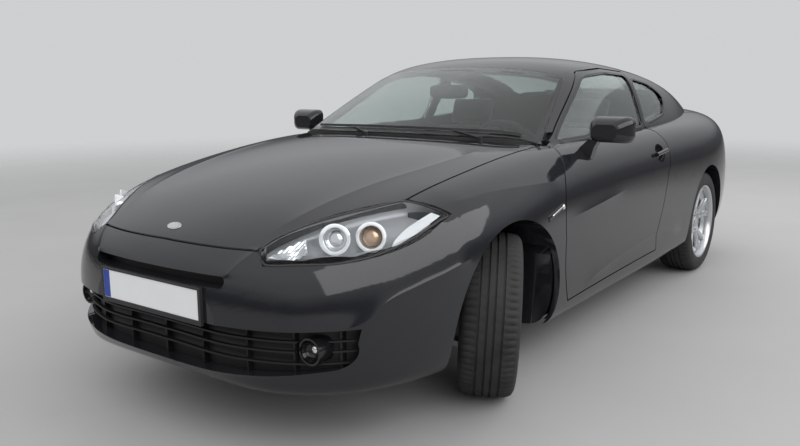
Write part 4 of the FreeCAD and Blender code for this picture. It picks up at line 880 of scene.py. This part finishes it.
# Small parts of the outside: fog lamps, wing repeaters and the mirror glasses.
fogLamp = {"place": (2.0, 0.588, 0.378), "bulbOff": (0, 0.007, 0.005),
           "funnel": [(0.0645, 0.0335), (0.062, 0.0325), (0.052, 0.027), (0.0445, 0.0235), (0.044, 0.0)],
           "bulb": [(0.0562, 0.0003), (0.0555, 0.006), (0.0535, 0.011), (0.05, 0.0145), (0.044, 0.0155)]}
repeater = {"run": [(1.02, 0.666), (0.985, 0.674), (0.93, 0.686), (0.875, 0.698)], "lens": (0.872, 0.694),
            "dome": [(0.0065, 0.0003), (0.006, 0.005), (0.0045, 0.009), (0.001, 0.0115), (-0.003, 0.012)]}
mirrorGlass = {"halfWide": 0.076, "halfHigh": 0.045, "outward": 0.018, "below": 0.056, "ahead": 0.006}


def makeFogLamp(hand, side):
    mirror = Matrix.Scale(hand, 4, (0, 1, 0))
    spot = Vector(fogLamp["place"])
    funnel = Shape().revolve(fogLamp["funnel"], 48, mirror @ Matrix.Translation(spot) @ facing((1, 0, 0)))
    funnel.piece("fog_funnel_" + side, "glossPlastic", "car_body", slot="black_plastic")
    spot += Vector(fogLamp["bulbOff"])
    bulb = Shape().revolve(fogLamp["bulb"], 32, mirror @ Matrix.Translation(spot) @ facing((1, 0, 0)))
    bulb.piece("fog_lens_" + side, "chrome", "car_body", slot="lamp_glass")


def makeRepeater(hand, side):
    def find(point):
        return onSide(point[0], point[1], hand)
    strap("repeater_bezel_" + side, repeater["run"], find, "car_body", "glossPlastic", "black_plastic",
          0.022, 0.0025, 4)
    strap("repeater_strip_" + side, repeater["run"][1:], find, "car_body", "chrome", "lamp_chrome",
          0.0055, 0.0045, 4)
    spot, normal = find(repeater["lens"])
    lens = Shape().revolve(repeater["dome"], 24, Matrix.Translation(spot) @ facing(normal))
    lens.piece("repeater_lens_" + side, "chrome", "car_body", slot="lamp_glass")


def makeMirrorGlass(hand, side):
    # Set just inside the open back of the mirror's cap.
    low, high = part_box("mirror_" + side)
    back = low[0] + mirrorGlass["ahead"]
    middle = (abs(low[1]) + abs(high[1])) / 2 + mirrorGlass["outward"]
    rows = []
    for shrink, x in ((0.0, back), (0.002, back - 0.0015)):
        wide, tall = mirrorGlass["halfWide"] - shrink, mirrorGlass["halfHigh"] - shrink
        rows.append([Vector((x, hand * (middle + a * wide), high[2] - mirrorGlass["below"] + b * tall))
                     for a, b in squircle(40)])
    glass = Shape().grid(rows, capEnds=True)
    glass.piece("mirror_glass_" + side, "mirror", "door_" + side, slot="lamp_chrome")


# Door trim: a moulded panel on the inner face, with an armrest, a pocket and a raised insert.
# Each of these is (from and to in X), (from and to in Z) and how far it stands out.
doorTrim = {"foot": 0.35, "top": 0.885, "rearFoot": -0.3, "rearTop": -0.43, "front": 0.67, "depth": 0.006,
            "armrest": ((-0.33, 0.3), (0.615, 0.69), 0.042), "pocket": ((-0.2, 0.5), (0.37, 0.46), 0.02),
            "insert": ((-0.3, 0.56), (0.715, 0.85), 0.008), "tucked": 0.001, "columns": 90, "levels": 60}


def swell(value, low, high, soft):
    # 1 between low and high, with a smooth edge as wide as soft.
    edge = max(0.0, min(1.0, min(value - low, high - value) / soft))
    return edge * edge * (3 - 2 * edge)


def makeDoorTrim(hand, side):
    tree = treeOf("door_" + side)
    foot, top, front, tucked = (doorTrim[key] for key in ("foot", "top", "front", "tucked"))
    rows, wall = [], 0.7
    for i in range(doorTrim["columns"] + 1):
        row = []
        for k in range(doorTrim["levels"] + 1):
            t = k / doorTrim["levels"]
            z = foot + (top - foot) * t
            rear = doorTrim["rearFoot"] + (doorTrim["rearTop"] - doorTrim["rearFoot"]) * t
            x = rear + (front - rear) * i / doorTrim["columns"]
            place, normal, face, distance = tree.ray_cast(Vector((x, hand * 0.3, z)), Vector((0, hand, 0)))
            wall = abs(place.y) if place is not None else wall
            spread = swell(x, rear, front, 0.012) * swell(z, foot, top, 0.012)
            depth = (doorTrim["depth"] + tucked) * spread - tucked
            for part in ("armrest", "pocket", "insert"):
                (start, end), (low, high), out = doorTrim[part]
                depth += out * swell(x, start, end, 0.04) * swell(z, low, high, 0.016)
            row.append(Vector((x, hand * (wall - depth), z)))
        rows.append(row)
    panel = Shape().grid(rows, closeRings=False)
    panel.piece("door_trim_" + side, "blackPlastic", "door_" + side, slot="black_plastic")


for hand, side in sides:
    makeFogLamp(hand, side)
    makeRepeater(hand, side)
    makeMirrorGlass(hand, side)
    makeDoorTrim(hand, side)

# Rings of the tail lamps as (Y, Z, radius), the plain oval badge and the cabin's mirror.
tailRings = [(0.652, 0.8, 0.033), (0.734, 0.8, 0.033)]
badge = {"halfWide": 0.033, "halfHigh": 0.0175, "aim": (-0.95, 0, -0.3),
         "section": [(-0.002, 1.0), (0.0018, 1.0), (0.0028, 0.94), (0.0028, 0.84), (0.0016, 0.8),
                     (0.0024, 0.5), (0.0028, 0.02)]}
cabinMirror = {"section": [(0.36, 0.9), (0.366, 1.0), (0.378, 1.0), (0.386, 0.93), (0.392, 0.7)],
               "halfWide": 0.11, "halfHigh": 0.034, "level": 1.135, "stalk": 0.011}


def makeTailRings(hand, side):
    # Bright rings that stay round on the curve of the lamp.
    profile = [(-0.0022, -0.002), (-0.0022, 0.0006), (0.0, 0.0013), (0.0022, 0.0006), (0.0022, -0.002)]
    for number, (y, z, radius) in enumerate(tailRings):
        middle, out = onSkin((-3.0, hand * y, z), (1, 0, 0))
        face = Matrix.Translation(middle) @ facing(out)
        met = [onSkin(face @ Vector((a, 0.1, b)), -out) for a, b in circle(radius, 48)]
        spots, normals = zip(*met)
        ring = Shape().sweep(evened(list(spots), True), evened(list(normals), True, 4), profile, True)
        ring.piece("tail_ring_%d_%s" % (number, side), "satinSilver", "car_body", slot="tail_red")


def makeBadge():
    spot, normal = onSkin((3.0, 0, 1.0), Vector(badge["aim"]).normalized())
    across = Vector((0, badge["halfWide"], 0))
    upward = normal.cross(across).normalized() * badge["halfHigh"]
    rows = []
    for out, share in badge["section"]:
        rows.append([spot + (across * a + upward * b) * share + normal * out for a, b in circle(1, 48)])
    Shape().grid(rows, capEnds=True).piece("nose_badge", "satinSilver", "bonnet", slot="lamp_chrome")


def makeCabinMirror():
    wide, tall, level = cabinMirror["halfWide"], cabinMirror["halfHigh"], cabinMirror["level"]
    rows = [[Vector((x, wide * share * a, level + tall * share * b)) for a, b in squircle(40)]
            for x, share in cabinMirror["section"]]
    stalk = []
    for t in (0.0, 0.5, 1.0):
        x, z = 0.388 - 0.03 * t, level + 0.005 + 0.055 * t
        stalk.append([Vector((x, a, z + b)) for a, b in circle(cabinMirror["stalk"], 16)])
    shape = Shape().grid(rows, capEnds=True).grid(stalk, capEnds=True)
    shape.piece("cabin_mirror", "cabinTrim", "car_body", slot="interior")


for hand, side in sides:
    makeTailRings(hand, side)
makeBadge()
makeCabinMirror()
print("small parts made")


# Plates: blank, in dark holders whose lips cover the sheet's edges, with a blue band at the right-hand end.
plate = {"wide": 0.526, "high": 0.124, "side": 0.0105, "upper": 0.0075, "lower": 0.0165, "band": 0.036,
         "front": (2.2068, 0.498, 1), "rear": (-2.2068, 0.56, -1)}


def makePlate(name, x, z, side):
    # side is 1 for a plate that faces ahead, -1 for one that faces back
    half, tall = plate["wide"] / 2, plate["high"] / 2
    sheetFace, lipFace, back = x + side * 0.001, x + side * 0.0032, x - side * 0.0095
    sheetHalf = half - plate["side"]
    low, high = z - tall + plate["lower"], z + tall - plate["upper"]
    rows = []
    for edge, face in ((0.003, x - side * 0.001), (0.0, x - side * 0.001), (0.0, sheetFace),
                       (-0.0015, sheetFace + side * 0.0004)):
        rows.append([(face, y * (sheetHalf + edge), level) for y, level in
                     ((-1, low - edge), (1, low - edge), (1, high + edge), (-1, high + edge))])
    sheet = Shape().grid(rows, capEnds=True)
    sheet.piece(name + "_sheet", "plateWhite", "car_body", slot="plate", smooth=False)
    band = (-sheetHalf, -sheetHalf + plate["band"]) if side > 0 else (sheetHalf - plate["band"], sheetHalf)
    face = sheetFace + side * 0.0007
    strip = Shape().box((min(x, face), band[0] + 0.002, low + 0.002), (max(x, face), band[1], high - 0.002))
    strip.piece(name + "_band", "plateBlue", "car_body", slot="plate", smooth=False)
    rows = []
    edges, lips = (0.0, 0.0, 0.0), (plate["side"], plate["lower"], plate["upper"])
    for insets, face in ((edges, back), (edges, lipFace - side * 0.001), ((0.001, 0.001, 0.001), lipFace),
                         (lips, lipFace), (lips, x - side * 0.002)):
        wide, under, over = half - insets[0], z - tall + insets[1], z + tall - insets[2]
        rows.append([(face, -wide, under), (face, wide, under), (face, wide, over), (face, -wide, over)])
    holder = Shape().grid(rows)
    depths = sorted((back, x - side * 0.002))
    holder.box((depths[0], -half + 0.004, z - tall + 0.004), (depths[1], half - 0.004, z + tall - 0.004))
    piece = holder.piece(name + "_holder", "blackPlastic", "car_body", slot="black_plastic", smooth=False)
    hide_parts(name)


for end in ("front", "rear"):
    makePlate(end + "_plate", *plate[end])
print("plates made")


# Seats: stuffed cushions with side rolls, in place of the plain CAD blocks.
# Each form is (length, width, thickness), the crown of its face and the rise of its side rolls.
seat = {"centre": 0.37, "lean": 20, "cushion": ((0.5, 0.49, 0.13), 0.0, 0.03),
        "back": ((0.56, 0.47, 0.115), 0.0, 0.028), "headrest": ((0.16, 0.26, 0.09), 0.004, 0.0),
        "post": 0.006, "posts": (-0.07, 0.07)}
rearSeat = {"centre": 0.31, "lean": 78, "cushion": ((0.42, 0.53, 0.13), 0.01, 0.03),
            "back": ((0.4, 0.53, 0.09), 0.008, 0.03)}


def turned(degrees, axis="Y"):
    return Matrix.Rotation(math.radians(degrees), 4, axis)


def cushion(name, place, form, replaced=None):
    # A closed form with a crown, rolls along both sides and a sewn line beside each roll.
    (long, wide, thick), crown, rolls = form
    count, around = 14, 12
    rows = []
    for i in range(count + 1):
        s = i / count
        x = (s - 0.5) * long
        pinch = 1 - 0.9 * (2 * abs(s - 0.5)) ** 8
        row = []
        for k in range(2 * around):
            a = 2 * math.pi * (k + 0.5) / (2 * around)
            y = math.copysign(abs(math.cos(a)) ** 0.42, math.cos(a)) * wide / 2
            z = math.copysign(abs(math.sin(a)) ** 0.5, math.sin(a)) * thick / 2 * pinch
            if z > 0:
                side = abs(y) / (wide / 2)
                z += crown * math.sin(math.pi * s) * (1 - side * side)
                fade = math.sin(math.pi * min(1, s * 1.05)) ** 0.5
                z += rolls * math.exp(-((side - 0.8) / 0.13) ** 2) * fade
                z -= 0.008 * math.exp(-((side - 0.58) / 0.035) ** 2)
            row.append(place @ Vector((x, y, z)))
        rows.append(row)
    piece = Shape().grid(rows, capEnds=True).piece(name, "cloth", "car_body", slot="seat_fabric", rounds=1)
    if replaced:
        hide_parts(replaced)


def makeSeat(hand, side):
    y = hand * seat["centre"]
    cushion("seat_cushion_" + side, Matrix.Translation((-0.015, y, 0.402)) @ turned(-4), seat["cushion"],
            "front_seats" if hand > 0 else None)
    back = Matrix.Translation((-0.19, y, 0.405)) @ turned(-seat["lean"])
    faced = turned(-90) @ turned(180, "Z")
    cushion("seat_back_" + side, back @ Matrix.Translation((-0.06, 0, 0.29)) @ faced, seat["back"])
    top = Matrix.Translation((-0.062, 0, 0.665))
    cushion("seat_headrest_" + side, back @ top @ faced, seat["headrest"])
    base = Shape()
    for off in seat["posts"]:
        base.grid([[back @ Vector((-0.062 + a, off + b, z)) for a, b in circle(seat["post"], 12)]
                   for z in (0.54, 0.62)])
    base.box((-0.22, y - 0.2, 0.228), (0.18, y + 0.2, 0.345))
    base.piece("seat_base_" + side, "cabinTrim", "car_body", slot="interior")


def makeRearSeat(number, y):
    cushion("rear_cushion_%d" % number, Matrix.Translation((-0.775, y, 0.375)) @ turned(-4),
            rearSeat["cushion"], "rear_seat" if number == 0 else None)
    place = Matrix.Translation((-0.985, y, 0.64)) @ turned(-rearSeat["lean"]) @ turned(180, "Z")
    cushion("rear_back_%d" % number, place, rearSeat["back"])


for hand, side in sides:
    makeSeat(hand, side)
for number in range(2):
    makeRearSeat(number, (2 * number - 1) * rearSeat["centre"])
print("seats made")


# Floor: it fades into the backdrop between two reaches from the car.
ground = {"half": 40, "fadeFrom": 5.0, "fadeTo": 14.0,
          "dark": (0.34, 0.34, 0.335), "light": (0.39, 0.39, 0.385)}


def makeFloor():
    f = Finish("paleFloor")
    colour = f.mix(f.noise(1.3, 6, 0.6), ground["dark"], ground["light"])
    reach = f.node("VectorMath", {"operation": "LENGTH"}, out=1, Vector=f.node("TexCoord", out=3))
    f.surface(Base_Color=colour, Roughness=0.75, Normal=f.bump(f.noise(90, 4), 0.15, 0.002),
              Alpha=1 - f.between(reach, ground["fadeFrom"], ground["fadeTo"]))
    mesh = bpy.data.meshes.new("floor")
    half = ground["half"]
    corner = [(-half, -half, 0), (half, -half, 0), (half, half, 0), (-half, half, 0)]
    mesh.from_pydata(corner, [], [(0, 1, 2, 3)])
    mesh.materials.append(f.material)
    floor = bpy.data.objects.new("floor", mesh)
    bpy.context.scene.collection.objects.link(floor)


# Lamps: place, spread, watts and whether the paint mirrors them.
lamps = {"key": ((1.2, 6.5, 4.6), (14.0, 5.0), 420, True),
         "fill": ((4.5, -4.0, 4.0), (5.0, 4.0), 70, False),
         "back": ((-5.0, 1.5, 4.5), (6.0, 4.0), 110, False)}


def makeLamp(name, spot, spread, watts, mirrored):
    light = bpy.data.lights.new(name, "AREA")
    light.shape = "RECTANGLE"
    light.size, light.size_y = spread
    light.energy = watts
    holder = bpy.data.objects.new(name, light)
    bpy.context.scene.collection.objects.link(holder)
    holder.location = spot
    holder.visible_glossy = mirrored
    holder.rotation_euler = (Vector((0, 0, 0.4)) - Vector(spot)).to_track_quat("-Z", "Y").to_euler()


# Sky: the paint mirrors a dim horizon under a brighter dome, and the camera sees a plain pale backdrop.
skyColours = {"backdrop": (0.62, 0.63, 0.635),
              "dome": [(0.0, (0.26, 0.255, 0.25)), (0.47, (0.26, 0.255, 0.25)), (0.5, (0.08, 0.08, 0.082)),
                       (0.535, (0.13, 0.133, 0.14)), (0.58, (0.42, 0.425, 0.44)),
                       (0.66, (0.75, 0.76, 0.78)), (0.8, (0.98, 0.99, 1.0))]}


def makeSky():
    world = bpy.data.worlds.new("sky")
    bpy.context.scene.world = world
    f = Finish("sky", world)
    height = f.node("SeparateXYZ", out=2, Vector=f.node("TexCoord", out=0))
    dome = f.node("ValToRGB", {"stops": skyColours["dome"]}, Fac=(height + 1) * 0.5)
    mirrored = f.node("Background", Color=dome, Strength=1.0)
    backdrop = f.node("Background", Color=skyColours["backdrop"], Strength=1.0)
    straight, through = (f.node("LightPath", out=ray) for ray in ("Is Camera Ray", "Is Transmission Ray"))
    seen = straight.maths("MAXIMUM", straight, through)
    f.node("OutputWorld", Surface=f.node("MixShader", i0=seen, i1=mirrored, i2=backdrop))


makeFloor()
for name, settings in lamps.items():
    makeLamp(name, *settings)
makeSky()
bpy.context.scene.view_settings.view_transform = "Standard"
print("floor and light made")
